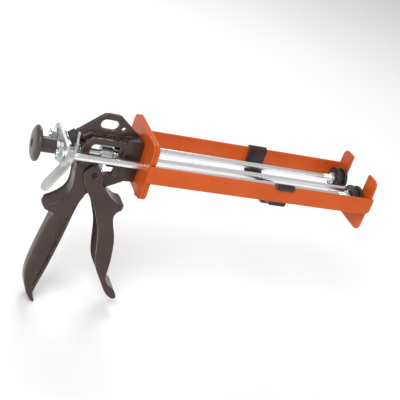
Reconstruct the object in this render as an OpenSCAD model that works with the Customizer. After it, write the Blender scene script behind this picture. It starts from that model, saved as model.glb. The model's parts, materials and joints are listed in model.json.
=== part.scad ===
// Hand-operated cartridge gun for two side-by-side cartridges, in millimetres.
// Front face of the seat plate is x = 0, the gun points along +X and +Z is up.
// The side rods lie in the plane z = 0 and the gun is mirrored about y = 0.

/* [Carriage] */
// distance between the outer faces of the two side rails
carriage_width = 90; // [75:1:110]
// sheet thickness of the rails and of the plate they are bent from
rail_sheet = 3; // [2:0.2:3.6]
// outside radius of the bend between frame plate and rail
bend_radius = 5; // [4.4:0.1:6]
// clear length between seat plate and front plate
bay_length = 256; // [200:1:310]
// height of the rail strips
rail_height = 19.3; // [15:0.1:23]
// top edge of the rails above the side rods
rail_top = 11.8; // [10:0.1:14]
// radius of the lower front corner of each rail
rail_corner = 6; // [2:0.5:7]
// thickness of the seat plate the cartridges push against
seat_sheet = 4; // [3:0.2:5]
// height of the frame plate and seat plate
plate_height = 64.8; // [60:0.2:76]
// corner radius of the frame plate and seat plate
plate_corner = 8; // [2:0.5:10]
// thickness of the front plate
front_sheet = 3; // [2:0.2:4]
// height of the front plate
front_height = 62.4; // [56:0.2:74]
// width of the slot for the cartridge outlets
slot_width = 42; // [34:0.5:50]
// how far the rails pass the front plate
rail_overrun = 0.6; // [0.2:0.1:3]
// radius of the flush rivet heads in the frame plate
plate_rivet_head = 7; // [5:0.5:8]
// radius of the rivet shanks
plate_rivet_shank = 3; // [2:0.25:4]
// height of the raised face of a rivet head
plate_rivet_dome = 0.8; // [0.4:0.1:1.5]

/* [Rods and plungers] */
// diameter of the side rods and of the drive rod
rod_diameter = 7.5; // [6:0.25:9]
// drop of the drive rod below the side rods
drive_drop = 2; // [0:0.5:3]
// gap on the radius of every hole a rod slides in
rod_gap = 0.08; // [0.02:0.01:0.1]
// front face of the plungers behind the front plate
plunger_rest = 2.2; // [1:0.1:4]
// diameter of the plunger flanges
plunger_diameter = 27; // [22:0.5:33]
// overall length of a plunger
plunger_length = 12; // [11:0.5:20]
// thickness of each plunger flange
plunger_flange = 3.5; // [3:0.5:4.5]
// depth of the recess in the back of a plunger
plunger_recess = 0.8; // [0.6:0.2:3]
// how far the drive rod ends behind the plunger faces
drive_rod_setback = 4; // [1:0.5:8]
// width across flats of the rod nuts
nut_flats = 13; // [11:0.5:15]
// thickness of the rod nuts
nut_height = 6.5; // [4:0.25:7]
// thickness of the nut in the back of a plunger and of the jam nut
thin_nut = 4; // [3:0.25:5]

/* [Yoke and knob] */
// distance from the seat face back to the rear face of the yoke plate
yoke_back = 90.5; // [88:0.5:100]
// thickness of the yoke plate
yoke_sheet = 3.5; // [2.5:0.25:5]
// half of the height of the yoke plate and radius of its ends
yoke_half_height = 13; // [11:0.5:15]
// length of the rod ends behind the rear nuts
rod_stub = 1.6; // [0.5:0.1:4]
// diameter of the knob head
knob_diameter = 37; // [28:0.5:44]
// thickness of the knob head at the rim
knob_rim = 4.5; // [3:0.25:7]
// rise of the knob's domed face
knob_dome = 2.6; // [1:0.2:4]
// diameter of the knob stem
knob_stem = 16.6; // [14:0.2:20]
// length of the knob stem
knob_stem_length = 17; // [12:0.5:24]
// diameter of the screw head in the knob
knob_screw_head = 9; // [7:0.5:11]

/* [Gun body] */
// half of the width of the housing between the trigger cheeks
body_half = 11; // [10:0.2:12]
// thickness of each housing wall
body_wall = 3; // [2.4:0.2:3.6]
// half of the width of the front box that meets the frame plate
front_half = 12.5; // [12:0.25:14]
// thickness of the upper fin
fin_sheet = 4; // [3:0.25:5]
// length of the hanging slot
hang_length = 19; // [14:0.5:22]
// height of the hanging slot
hang_height = 11; // [8:0.5:12]
// radius of the small hole beside the hanging slot
fin_hole = 2.2; // [1.5:0.1:3]
// height of the raised rims on the handle sides
rim_rise = 1.2; // [0.6:0.1:1.6]
// half of the width of the handle
handle_half = 11.5; // [10.5:0.25:12.5]
// half of the thickness of the web under the drive housing
strut_half = 3; // [2:0.25:4]
// radius of the screws that hold the plates to the body
body_screw = 2.5; // [2:0.1:3]
// length of the body screws
body_screw_length = 16; // [14:0.5:18]
// outside radius of the drive rod bush
bush_radius = 6; // [5.4:0.1:6.4]
// how far the bush flange stands out
bush_flange_rise = 1.2; // [0.8:0.1:1.6]
// thickness of the bush flange
bush_flange = 1; // [0.8:0.1:1.6]

/* [Trigger] */
// sheet thickness of the trigger cheeks
trigger_wall = 2.4; // [2:0.2:2.8]
// side gap between trigger cheek and the wider of housing and handle
trigger_gap = 0.35; // [0.3:0.05:0.8]
// radius of the pivot pin
pivot_radius = 3; // [2.4:0.1:3.6]
// gap on the radius between pivot pin and trigger
pivot_gap = 0.05; // [0.02:0.01:0.1]
// radius of the pin that pushes the drive dog
push_pin_radius = 3; // [2.4:0.1:3.4]
// thickness of the pin heads
pin_head = 1.4; // [1:0.1:1.8]

/* [Drive and release] */
// radius of the drive dog and drive collar
collar_radius = 7.4; // [6.6:0.1:7.6]
// length of the drive collar
collar_length = 7.7; // [6:0.1:8]
// thickness of the drive dog
dog_sheet = 5; // [4:0.25:5]
// gap between the push pin and the drive dog
dog_gap = 0.3; // [0.3:0.05:0.6]
// wire diameter of the coil springs
spring_wire = 1.3; // [1:0.1:1.4]
// thickness of the release plate
release_sheet = 3.2; // [2.4:0.1:3.4]
// half of the width of the release plate
release_half = 9; // [8:0.25:10]
// gap on the radius around the drive rod in the tilting release plate
release_gap = 0.6; // [0.5:0.05:1]
// half of the width of the buffer block
block_half = 7.75; // [7:0.25:9]

/* [Saddle clip] */
// back edge of the saddle clip in front of the seat face
clip_position = 136; // [60:1:170]
// width of the saddle clip along the rails
clip_width = 22; // [14:0.5:26]
// sheet thickness of the saddle clip
clip_sheet = 2; // [1.4:0.1:2.4]
// gap between the saddle clip and the rails
clip_gap = 0.3; // [0.2:0.05:0.5]
// length of the hook over the outside of each rail
clip_lip = 4; // [3:0.5:7]
// how far the outer tabs of the saddle clip reach below the rods
clip_skirt = 14; // [8:0.5:18]

/* [Hidden] */
$fn = 96;
eps = 0.01;
seat_back = -seat_sheet;
frame_back = seat_back - rail_sheet;
inner_half = carriage_width / 2 - rail_sheet;
pitch = inner_half;
rod_y = pitch / 2;
rod_r = rod_diameter / 2;
hole_r = rod_r + rod_gap;
drive_z = -drive_drop;
plate_half = inner_half - 0.2;
bend_start = carriage_width / 2 - bend_radius;
rail_low = rail_top - rail_height;
bay_end = bay_length;
rail_end = bay_end + front_sheet + rail_overrun;
slot_r = slot_width / 2;
plunger_face = bay_end - plunger_rest;
plunger_back = plunger_face - plunger_length;
plunger_r = plunger_diameter / 2;
plunger_hub = plunger_r * 0.62;
recess_r = plunger_r * 0.72;
yoke_rear = -yoke_back;
yoke_front = yoke_rear + yoke_sheet;
rear_nut_x = yoke_rear - nut_height;
rod_rear = rear_nut_x - rod_stub;
stem_front = yoke_rear - thin_nut;
stem_back = stem_front - knob_stem_length;
head_back = stem_back - knob_rim;
cheek_in = max(body_half, handle_half) + trigger_gap;
cheek_out = cheek_in + trigger_wall;
cavity_half = body_half - body_wall;
pivot_x = -46.5;
pivot_z = -31.5;
push_x = -50.3;
push_z = -22;
dog_back = push_x + push_pin_radius + dog_gap;
dog_front = dog_back + dog_sheet;
collar_front = dog_front + collar_length;
box_back = -24;
bush_front = box_back + 15;
bush_face = box_back - bush_flange;
wall_back = -70;
wall_front = -65;
release_front = -73.4;
release_back = release_front - release_sheet;
release_hang = 18;
block_front = release_back - 0.9;
screw_z = 13;
screw_y = 6;
screw_back = -body_screw_length;
clip_out = carriage_width / 2 + clip_gap + clip_sheet;
plate_low = 2 - plate_height / 2;
cradle_r = pitch / 2 + 1;

orange = [0.80, 0.34, 0.18];
umber = [0.30, 0.26, 0.25];
zinc = [0.76, 0.77, 0.77];
steel = [0.80, 0.82, 0.84];
black = [0.17, 0.16, 0.15];

// Point on a smooth closed curve through four neighbouring control points.
function curve_point(a, b, c, d, t) = 0.5 * ((2 * b) + (c - a) * t
  + (2 * a - 5 * b + 4 * c - d) * t * t
  + (3 * b - a - 3 * c + d) * t * t * t);

// Smooth closed outline through a list of control points.
function smooth_loop(p, n) = [for (i = [0 : len(p) - 1]) for (k = [0 : n - 1])
  curve_point(p[(i + len(p) - 1) % len(p)], p[i], p[(i + 1) % len(p)], p[(i + 2) % len(p)], k / n)];

// Round bar along X.
module bar_x(x0, x1, y, z, r) {
  translate([x0, y, z])
    rotate([0, 90, 0])
      cylinder(h = x1 - x0, r = r);
}

// Cone along X.
module cone_x(x0, x1, y, z, r0, r1) {
  translate([x0, y, z])
    rotate([0, 90, 0])
      cylinder(h = x1 - x0, r1 = r0, r2 = r1);
}

// Round bar along Y.
module bar_y(x, y0, y1, z, r) {
  translate([x, y0, z])
    rotate([-90, 0, 0])
      cylinder(h = y1 - y0, r = r);
}

// Box between two corners.
module block(x0, x1, y0, y1, z0, z1) {
  translate([x0, y0, z0])
    cube([x1 - x0, y1 - y0, z1 - z0]);
}

// Flat plate across X with four round corners.
module rounded_plate(x0, t, half, z0, z1, r) {
  union() {
    block(x0, x0 + t, -half + r, half - r, z0, z1);
    block(x0, x0 + t, -half, half, z0 + r, z1 - r);
    for (y = [-half + r, half - r])
      for (z = [z0 + r, z1 - r])
        bar_x(x0, x0 + t, y, z, r);
  }
}

// Outline in X and Z drawn out between two Y values.
module slab(points, y0, y1) {
  translate([0, y1, 0])
    rotate([90, 0, 0])
      linear_extrude(height = y1 - y0)
        polygon(points);
}

// Hexagon nut across X with a round bore.
module nut_x(x0, h, y, z, flats, bore) {
  difference() {
    translate([x0, y, z])
      rotate([0, 90, 0])
        rotate([0, 0, 30])
          cylinder(h = h, r = flats / 2 / cos(30), $fn = 6);
    bar_x(x0 - 1, x0 + h + 1, y, z, bore);
  }
}

// Coil of half rings tilted one way and then the other, with a small ball at each joint.
module coil_x(x0, x1, z, r, wire, turns) {
  pitch_x = (x1 - x0 - wire) / turns;
  lean = atan(pitch_x / 4 / r);
  for (i = [0 : turns - 1]) {
    translate([x0 + wire / 2 + (i + 0.25) * pitch_x, 0, z])
      rotate([0, 90, 0])
        rotate([0, lean, 0])
          rotate_extrude(angle = 180)
            translate([r / cos(lean), 0])
              circle(r = wire / 2, $fn = 24);
    translate([x0 + wire / 2 + (i + 0.75) * pitch_x, 0, z])
      rotate([0, 90, 0])
        rotate([0, -lean, 0])
          rotate([0, 0, 180])
            rotate_extrude(angle = 180)
              translate([r / cos(lean), 0])
                circle(r = wire / 2, $fn = 24);
  }
  for (i = [0 : 2 * turns])
    translate([x0 + wire / 2 + i * pitch_x / 2, 0, z + (i % 2 == 0 ? -r : r)])
      sphere(r = wire * 0.55, $fn = 24);
}

// One rail strip with its bend, on the +Y side.
module rail() {
  y_in = carriage_width / 2 - rail_sheet;
  y_out = carriage_width / 2;
  bend_x = frame_back + bend_radius;
  union() {
    block(bend_x, rail_end - rail_corner, y_in, y_out, rail_low, rail_top);
    block(rail_end - rail_corner - eps, rail_end, y_in, y_out, rail_low + rail_corner, rail_top);
    bar_y(rail_end - rail_corner, y_in, y_out, rail_low + rail_corner, rail_corner);
    translate([bend_x, bend_start, rail_low])
      rotate([0, 0, 90])
        rotate_extrude(angle = 90)
          translate([bend_radius - rail_sheet, 0])
            square([rail_sheet, rail_height]);
  }
}

// Frame plate with the two rails bent forward from it.
module carriage_frame() {
  color(orange)
    difference() {
      union() {
        difference() {
          rounded_plate(frame_back, rail_sheet, plate_half, plate_low, plate_height / 2, plate_corner);
          for (s = [-1, 1])
            block(frame_back - 1, seat_back + 1, s > 0 ? bend_start : -carriage_width,
              s > 0 ? carriage_width : -bend_start, rail_low, rail_top);
        }
        rail();
        mirror([0, 1, 0])
          rail();
      }
      for (s = [-1, 1]) {
        bar_x(frame_back - 1, seat_back + 1, s * rod_y, 0, hole_r);
        bar_x(frame_back - 1, seat_back + 1, s * (rod_y + 6.5), -plate_height / 2 + 8, plate_rivet_shank);
        bar_x(frame_back - 1, seat_back + 1, s * screw_y, screw_z, body_screw);
        bar_x(frame_back - 1, seat_back + 1, s * screw_y, -screw_z - 2, body_screw);
      }
      bar_x(frame_back - 1, seat_back + 1, 0, drive_z, hole_r + 0.4);
    }
}

// Loose flat plate in front of the frame plate, taking the push of the cartridges.
module seat_plate() {
  color(orange)
    difference() {
      rounded_plate(seat_back, seat_sheet, plate_half, plate_low, plate_height / 2, plate_corner);
      for (s = [-1, 1]) {
        block(seat_back - 1, 1, s > 0 ? bend_start - 0.2 : -carriage_width,
          s > 0 ? carriage_width : -bend_start + 0.2, rail_low - 0.3, rail_top + 0.3);
        bar_x(seat_back - 1, 1, s * rod_y, 0, hole_r);
        bar_x(seat_back - 1, 1, s * (rod_y + 6.5), -plate_height / 2 + 8, plate_rivet_shank);
        bar_x(seat_back - 1, 1, s * screw_y, screw_z, body_screw);
        bar_x(seat_back - 1, 1, s * screw_y, -screw_z - 2, body_screw);
        cone_x(-1.6, 0.01, s * screw_y, screw_z, body_screw, body_screw + 1.61);
        cone_x(-1.6, 0.01, s * screw_y, -screw_z - 2, body_screw, body_screw + 1.61);
      }
      bar_x(seat_back - 1, 1, 0, drive_z, hole_r + 0.4);
    }
}

// Front plate with its open slot for the cartridge outlets.
module front_plate() {
  color(orange)
    difference() {
      union() {
        rounded_plate(bay_end, front_sheet, plate_half, -front_height / 2, front_height / 2, plate_corner);
        block(bay_end, bay_end + front_sheet, -inner_half, inner_half, rail_low + rail_corner, rail_top);
      }
      bar_x(bay_end - 1, bay_end + front_sheet + 1, 0, 0, slot_r);
      block(bay_end - 1, bay_end + front_sheet + 1, -slot_r, slot_r, 0, front_height);
    }
}

// Two flat-headed rivets joining the frame plate and the seat plate.
module plate_rivets() {
  color(orange)
    for (s = [-1, 1])
      union() {
        bar_x(frame_back - 0.01, 0, s * (rod_y + 6.5), -plate_height / 2 + 8, plate_rivet_shank);
        cone_x(frame_back - plate_rivet_dome, frame_back, s * (rod_y + 6.5), -plate_height / 2 + 8,
          plate_rivet_head - 0.8, plate_rivet_head);
      }
}

// Countersunk screws through both plates into the front box of the body.
module body_screws() {
  color(steel)
    for (s = [-1, 1])
      for (z = [screw_z, -screw_z - 2])
        union() {
          bar_x(screw_back, 0, s * screw_y, z, body_screw);
          cone_x(-1.6, 0, s * screw_y, z, body_screw, body_screw + 1.6);
        }
}

// Profiles of the body in X and Z.
fin_outline = [[-80.5, 14.6], [-78.4, 18.6], [-54.4, 40.6], [-52.2, 42], [-49.5, 42.6], [-38.2, 42.5],
  [-35.6, 41.9], [-33.2, 40.4], [-11.6, 23.4], [-9, 19.5], [-9, 12], [-66, 12], [-70, 10.5], [-80.5, 10.5]];
wall_outline = [[-70, -14], [-70, 6], [-68.8, 9.4], [-67.2, 11.6], [-63.2, 17.4], [-61, 18.8], [-25, 18.8],
  [-25, -21], [-34.2, -21], [-34.2, -18], [-41, -18], [-41, -37.8], [-46, -40], [-51, -45.5], [-60, -50],
  [-68, -44], [-68.4, -30], [-69.6, -20]];
window_outline = [[-61.5, 3], [-61, 7.2], [-59.8, 10], [-57.6, 11.6], [-55, 11.9], [-33, 11.9], [-31, 11.2],
  [-30.2, 9.4], [-30.2, -4], [-31.2, -12], [-33.6, -19.4], [-33.6, -24], [-42, -24], [-46, -19.5], [-50.5, -12.5],
  [-58.5, -7.5], [-61, -3]];
box_outline = [[-26, 19.2], [-24.6, 21.2], [-22.6, 21.8], [-10.4, 21.8], [-8.2, 21], [-7, 19], [-7, -24.5],
  [-15, -25], [-20, -25.2], [-23, -23.6], [-26, -20.6]];
strut_outline = [[-9, -24], [-9, -26.6], [-22, -34.4], [-30.4, -39], [-38.2, -41.2], [-46, -43.4], [-50, -38],
  [-46, -30], [-41, -25.8], [-37, -24.8], [-33.6, -23.2], [-24, -23], [-18, -22]];
boss_outline = [[-40.6, -28.4], [-40.6, -41], [-46, -43.4], [-56, -44], [-57, -34], [-51.5, -27.6], [-46, -27]];
flange_outline = [[-70.4, -12], [-70.4, -17], [-69.9, -23], [-69.1, -30.3], [-68.7, -38], [-69.3, -44],
  [-71.4, -49.6], [-75, -54.2], [-79.8, -58.6], [-85, -62.2], [-89.6, -64.6], [-92.4, -66.6], [-92.8, -68.8],
  [-90.4, -70.8], [-86, -72], [-81.6, -73.8], [-80.2, -77.6], [-82.4, -85.7], [-86.1, -104],
  [-89.3, -122.6], [-91.7, -139.9], [-92.3, -151.8], [-90.7, -163.7], [-86, -175.4], [-80, -183.8],
  [-76.8, -186.6], [-75.4, -185], [-78, -178], [-78.2, -170.6], [-71.6, -141.5], [-64.4, -102.5],
  [-60.2, -75.1], [-57, -58], [-53.8, -50], [-53, -44], [-57.5, -30], [-62.5, -14], [-66, -9.6]];
core_outline = [[-66, -12], [-69.2, -20], [-68.2, -30.3], [-67.8, -38], [-68.4, -44.4], [-70.6, -50.2],
  [-74.4, -55], [-79.2, -59.5], [-84.5, -63.1], [-89.1, -65.5], [-92.2, -67.4], [-92.6, -69],
  [-90.4, -70.8], [-86, -72], [-81.6, -73.8], [-80.2, -77.6], [-82.4, -85.7], [-86.1, -104],
  [-89.3, -122.6], [-91.7, -139.9], [-92.3, -151.8], [-90.7, -163.7], [-86, -175.4], [-80, -183.8],
  [-76.8, -186.6], [-75.4, -185], [-78, -178], [-78.2, -170.6], [-71.6, -141.5], [-64.4, -102.5],
  [-60.2, -75.1], [-57, -58], [-53.8, -50], [-55.6, -40], [-60.5, -26], [-62.5, -13]];
hollow_outline = [[-50, -62], [-63, -62], [-69, -74], [-77, -104], [-83, -139], [-84.6, -152], [-82.6, -164],
  [-79, -170], [-60, -170]];
pocket_outline = [[-63.6, -80], [-77.6, -80], [-81.5, -100], [-86.4, -128], [-87.8, -148], [-86, -163],
  [-81.6, -169], [-76, -144], [-70.4, -115]];
pillar_outline = [[-33.4, -9], [-28.2, -9], [-26.2, -19.4], [-28.6, -21], [-32.2, -19.6]];
trigger_outline = [[-54.6, -11.8], [-47.4, -13.4], [-42.8, -18.6], [-40.9, -23], [-39.6, -29.6], [-35.1, -36.6],
  [-24.3, -47.1], [-15.7, -52.6], [-8.6, -54], [-7.2, -56], [-9.6, -58.6], [-14.1, -63], [-16.3, -68.2],
  [-13.9, -78.7], [-8.9, -92.4], [-6, -107.9], [-4.4, -125.1], [-4.2, -140], [-3.1, -148.1], [1, -154.6],
  [8.8, -160.4], [14.2, -168.6], [12.6, -172.4], [7.3, -171.8], [-0.9, -163.8], [-11.8, -146.4],
  [-18.5, -134.9], [-22.4, -123.2], [-25.3, -106.2], [-29, -87.2], [-34.9, -72.2], [-41.5, -58.3],
  [-50.5, -45.2], [-57, -36], [-60.7, -26], [-60.6, -18.6]];
web_outline = [[-32.2, -43.6], [-30, -41.6], [-24.3, -47.1], [-15.7, -52.6], [-8.6, -54], [-7.2, -56],
  [-9.6, -58.6], [-14.1, -63], [-16.3, -68.2], [-13.9, -78.7], [-8.9, -92.4], [-6, -107.9], [-4.4, -125.1],
  [-4.2, -140], [-3.1, -148.1], [1, -154.6], [8.8, -160.4], [14.2, -168.6], [12.6, -172.4], [10.6, -170.4],
  [6, -162.4], [-1.6, -156.6], [-6.2, -149.2], [-7.4, -140], [-7.6, -125], [-9.2, -107.6], [-12, -91.6],
  [-17.2, -78], [-19.6, -68.2], [-18.4, -62.6], [-18.2, -57.4], [-27.2, -50.2]];
fin_slot_x = -45.4;
fin_slot_z = 30.8;
fin_hole_x = -29.8;
fin_hole_z = 28.2;

// Cast body with the upper fin, the open drive housing and the fixed handle.
module gun_body() {
  color(umber)
    difference() {
      union() {
        difference() {
          slab(fin_outline, -fin_sheet / 2, fin_sheet / 2);
          bar_y(fin_slot_x - hang_length / 2 + hang_height / 2, -fin_sheet, fin_sheet, fin_slot_z, hang_height / 2);
          bar_y(fin_slot_x + hang_length / 2 - hang_height / 2, -fin_sheet, fin_sheet, fin_slot_z, hang_height / 2);
          block(fin_slot_x - hang_length / 2 + hang_height / 2, fin_slot_x + hang_length / 2 - hang_height / 2,
            -fin_sheet, fin_sheet, fin_slot_z - hang_height / 2, fin_slot_z + hang_height / 2);
          bar_y(fin_hole_x, -fin_sheet, fin_sheet, fin_hole_z, fin_hole);
        }
        for (s = [-1, 1])
          difference() {
            slab(wall_outline, s > 0 ? cavity_half : -body_half, s > 0 ? body_half : -cavity_half);
            slab(window_outline, s > 0 ? cavity_half - 1 : -body_half - 1, s > 0 ? body_half + 1 : 1 - cavity_half);
          }
        block(-61, box_back, -body_half, body_half, 14.6, 18.8);
        block(wall_back, wall_front, -body_half, body_half, -14, 6);
        slab(box_outline, -front_half, front_half);
        slab(strut_outline, -strut_half, strut_half);
        slab(boss_outline, -cavity_half - eps, cavity_half + eps);
        slab(core_outline, -release_half - 0.5, release_half + 0.5);
        for (s = [-1, 1]) {
          slab(flange_outline, s > 0 ? release_half + 0.4 : -handle_half, s > 0 ? handle_half : -release_half - 0.4);
          slab(pillar_outline, s > 0 ? body_half - eps : -body_half - 1, s > 0 ? body_half + 1 : eps - body_half);
        }
      }
      slab(hollow_outline, -cavity_half + 0.6, cavity_half - 0.6);
      for (s = [-1, 1])
        slab(pocket_outline, s > 0 ? handle_half - rim_rise : -handle_half - 1,
          s > 0 ? handle_half + 1 : rim_rise - handle_half);
      bar_x(wall_back - 8, frame_back + 1, 0, drive_z, hole_r);
      bar_x(box_back - 1, bush_front, 0, drive_z, bush_radius);
      bar_x(box_back - 4, box_back, 0, drive_z, bush_radius + bush_flange_rise + 0.2);
      bar_x(bush_front, frame_back + 1, 0, drive_z, hole_r + 0.4);
      bar_x(wall_back - 1, wall_back + 3, 0, drive_z, bush_radius + 0.9);
      bar_y((push_x * 2 + 3.9) / 2, -body_half - 2, body_half + 2, push_z + 0.4, push_pin_radius + 2.8);
      bar_y(pivot_x, -body_half - 2, body_half + 2, pivot_z, pivot_radius);
      for (s = [-1, 1])
        for (z = [screw_z, -screw_z - 2])
          bar_x(screw_back, frame_back + 1, s * screw_y, z, body_screw);
    }
}

// Flanged bush that guides the drive rod in the front box.
module drive_bush() {
  color(zinc)
    difference() {
      union() {
        bar_x(box_back, bush_front, 0, drive_z, bush_radius);
        bar_x(bush_face, box_back, 0, drive_z, bush_radius + bush_flange_rise);
      }
      bar_x(bush_face - 1, bush_front + 1, 0, drive_z, hole_r);
    }
}

// Channel-shaped trigger straddling the housing and open toward the handle.
module trigger() {
  color(umber)
    difference() {
      union() {
        for (s = [-1, 1])
          slab(smooth_loop(trigger_outline, 3), s > 0 ? cheek_in : -cheek_out, s > 0 ? cheek_out : -cheek_in);
        slab(web_outline, -cheek_in - eps, cheek_in + eps);
      }
      bar_y(pivot_x, -cheek_out - 1, cheek_out + 1, pivot_z, pivot_radius + pivot_gap);
      bar_y(push_x, -cheek_out - 1, cheek_out + 1, push_z, push_pin_radius);
      bar_y(push_x, -cheek_out - 1, 0.8 - cheek_out, push_z, push_pin_radius + 1.2);
      bar_y(push_x, cheek_out - 0.8, cheek_out + 1, push_z, push_pin_radius + 1.2);
    }
}

// Pivot pin with a low head on each side, fixed in the body.
module trigger_pivot() {
  color(umber)
    union() {
      bar_y(pivot_x, -cheek_out - 0.15, cheek_out + 0.15, pivot_z, pivot_radius);
      bar_y(pivot_x, -cheek_out - pin_head, -cheek_out - 0.1, pivot_z, pivot_radius + 1.4);
      bar_y(pivot_x, cheek_out + 0.1, cheek_out + pin_head, pivot_z, pivot_radius + 1.4);
    }
}

// Cross pin in the trigger that pushes the drive dog forward.
module push_pin() {
  color(steel)
    bar_y(push_x, 0.8 - cheek_out, cheek_out - 0.8, push_z, push_pin_radius);
}

// Drive dog hanging from the drive rod in front of the push pin.
module drive_dog() {
  color(zinc)
    difference() {
      union() {
        bar_x(dog_back, dog_front, 0, drive_z, collar_radius);
        block(dog_back, dog_front, -cavity_half + 2, cavity_half - 2, -24, drive_z);
      }
      bar_x(dog_back - 1, dog_front + 1, 0, drive_z, hole_r);
    }
}

// Thick collar in front of the drive dog.
module drive_collar() {
  color(zinc)
    difference() {
      union() {
        bar_x(dog_front, collar_front - 1, 0, drive_z, collar_radius);
        cone_x(collar_front - 1, collar_front, 0, drive_z, collar_radius, collar_radius - 1);
      }
      bar_x(dog_front - 1, collar_front + 1, 0, drive_z, hole_r);
    }
}

// Coil spring that returns the drive dog and the trigger.
module drive_spring() {
  color(steel)
    coil_x(collar_front, bush_face, drive_z, rod_r + spring_wire / 2 + 0.6, spring_wire, 3);
}

// Release plate: forked top, hole for the drive rod and a thumb tongue curving back.
module release_plate() {
  h = release_sheet / 2;
  x0 = release_back;
  x1 = release_front;
  tongue = [[x0, -9], [-77.9, -15.2], [-81, -22.4], [-86.8, -33.4], [-93, -44.2], [-97.6, -52.2],
    [-94.9, -53.9], [-90.2, -45.8], [-84, -35], [-78.2, -24], [-74.7, -16], [x1, -9]];
  color(zinc)
    difference() {
      union() {
        block(x0, x1, -6.2, 6.2, 10, release_hang);
        bar_y((x0 + x1) / 2, -6.2, 6.2, release_hang, h);
        block(x0, x1, -release_half, release_half, -9.01, 12);
        slab(tongue, -release_half, release_half);
      }
      block(x0 - 1, x1 + 1, -fin_sheet / 2 - 0.4, fin_sheet / 2 + 0.4, 9.6, 21);
      bar_x(x0 - 4, x1 + 4, 0, drive_z, rod_r + release_gap);
      tongue_tip();
    }
}

// Cutter that rounds the end of the thumb tongue.
module tongue_tip() {
  lean = 59.8;
  translate([-91.9, 0, -46.6])
    rotate([0, 90 - lean + 90, 0])
      difference() {
        translate([-1, -release_half - 2, -9])
          cube([release_half + 12, 2 * release_half + 4, 18]);
        translate([0, 0, -10])
          cylinder(h = 20, r = release_half);
      }
}

// Light coil spring between the release plate and the body.
module release_spring() {
  color(steel)
    coil_x(release_front, wall_back + 3, drive_z, rod_r + spring_wire / 2 + 0.9, spring_wire * 0.8, 3);
}

// Rubber buffer block on the end of the fin.
module buffer_block() {
  color(black)
    difference() {
      slab([[-84.2, 12], [-78.4, 17.4], [block_front, 17], [block_front, 3.4], [-78.8, 3.2]], -block_half, block_half);
      block(-80.5, block_front + 1, -fin_sheet / 2, fin_sheet / 2, 10.5, 20);
    }
}

// Drive rod from the knob to the middle of the cartridge bay.
module drive_rod() {
  color(steel)
    difference() {
      union() {
        bar_x(stem_back, plunger_face - drive_rod_setback - 1, 0, drive_z, rod_r);
        cone_x(plunger_face - drive_rod_setback - 1, plunger_face - drive_rod_setback, 0, drive_z, rod_r, rod_r - 1);
      }
      bar_x(stem_back - 1, stem_back + 8, 0, drive_z, 1.8);
    }
}

// Side rod, s is the side.
module side_rod(s) {
  color(steel)
    union() {
      cone_x(rod_rear, rod_rear + 0.8, s * rod_y, 0, rod_r - 0.8, rod_r);
      bar_x(rod_rear + 0.8, plunger_face - 2, s * rod_y, 0, rod_r);
    }
}

module left_rod() {
  side_rod(1);
}

module right_rod() {
  side_rod(-1);
}

// Spool-shaped plunger on the end of a side rod.
module plunger(s) {
  color(black)
    difference() {
      union() {
        bar_x(plunger_back, plunger_back + plunger_flange, s * rod_y, 0, plunger_r);
        bar_x(plunger_back, plunger_face, s * rod_y, 0, plunger_hub);
        bar_x(plunger_face - plunger_flange, plunger_face - 0.8, s * rod_y, 0, plunger_r);
        cone_x(plunger_face - 0.8, plunger_face, s * rod_y, 0, plunger_r, plunger_r - 0.8);
      }
      bar_x(plunger_back - 1, plunger_back + plunger_recess, s * rod_y, 0, recess_r);
      bar_x(plunger_back - 1, plunger_face - 2, s * rod_y, 0, rod_r);
    }
}

module left_plunger() {
  plunger(1);
}

module right_plunger() {
  plunger(-1);
}

// Thin nuts in the recesses of the plungers.
module plunger_nuts() {
  color(steel)
    for (s = [-1, 1])
      nut_x(plunger_back + plunger_recess - thin_nut, thin_nut, s * rod_y, 0, nut_flats, rod_r);
}

// Plate that joins the three rods behind the body.
module yoke_plate() {
  color(zinc)
    difference() {
      union() {
        block(yoke_rear, yoke_front, -rod_y, rod_y, -yoke_half_height, yoke_half_height);
        for (s = [-1, 1])
          bar_x(yoke_rear, yoke_front, s * rod_y, 0, yoke_half_height);
      }
      for (s = [-1, 1])
        bar_x(yoke_rear - 1, yoke_front + 1, s * rod_y, 0, rod_r);
      bar_x(yoke_rear - 1, yoke_front + 1, 0, drive_z, rod_r);
    }
}

// Nuts on both faces of the yoke plate and the jam nut of the drive rod.
module yoke_nuts() {
  color(steel) {
    for (s = [-1, 1])
      for (x = [rear_nut_x, yoke_front])
        nut_x(x, nut_height, s * rod_y, 0, nut_flats, rod_r);
    nut_x(stem_front, thin_nut, 0, drive_z, nut_flats, rod_r);
  }
}

// Mushroom knob on the end of the drive rod.
module knob() {
  r = knob_diameter / 2;
  ball = (r * r + knob_dome * knob_dome) / 2 / knob_dome;
  color(umber)
    difference() {
      union() {
        bar_x(head_back, stem_back, 0, drive_z, r);
        intersection() {
          bar_x(head_back - knob_dome - 1, head_back, 0, drive_z, r);
          translate([head_back - knob_dome + ball, 0, drive_z])
            sphere(r = ball);
        }
        cone_x(stem_back, stem_back + 2, 0, drive_z, knob_stem / 2 + 2, knob_stem / 2);
        bar_x(stem_back, stem_front - 1.4, 0, drive_z, knob_stem / 2);
        cone_x(stem_front - 1.4, stem_front, 0, drive_z, knob_stem / 2, knob_stem / 2 - 1.4);
      }
      bar_x(stem_back, stem_front + 1, 0, drive_z, rod_r);
      bar_x(head_back - knob_dome - 1, stem_back + 1, 0, drive_z, 1.8);
      bar_x(head_back - knob_dome - 1, head_back + 1.6, 0, drive_z, knob_screw_head / 2);
    }
}

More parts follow.
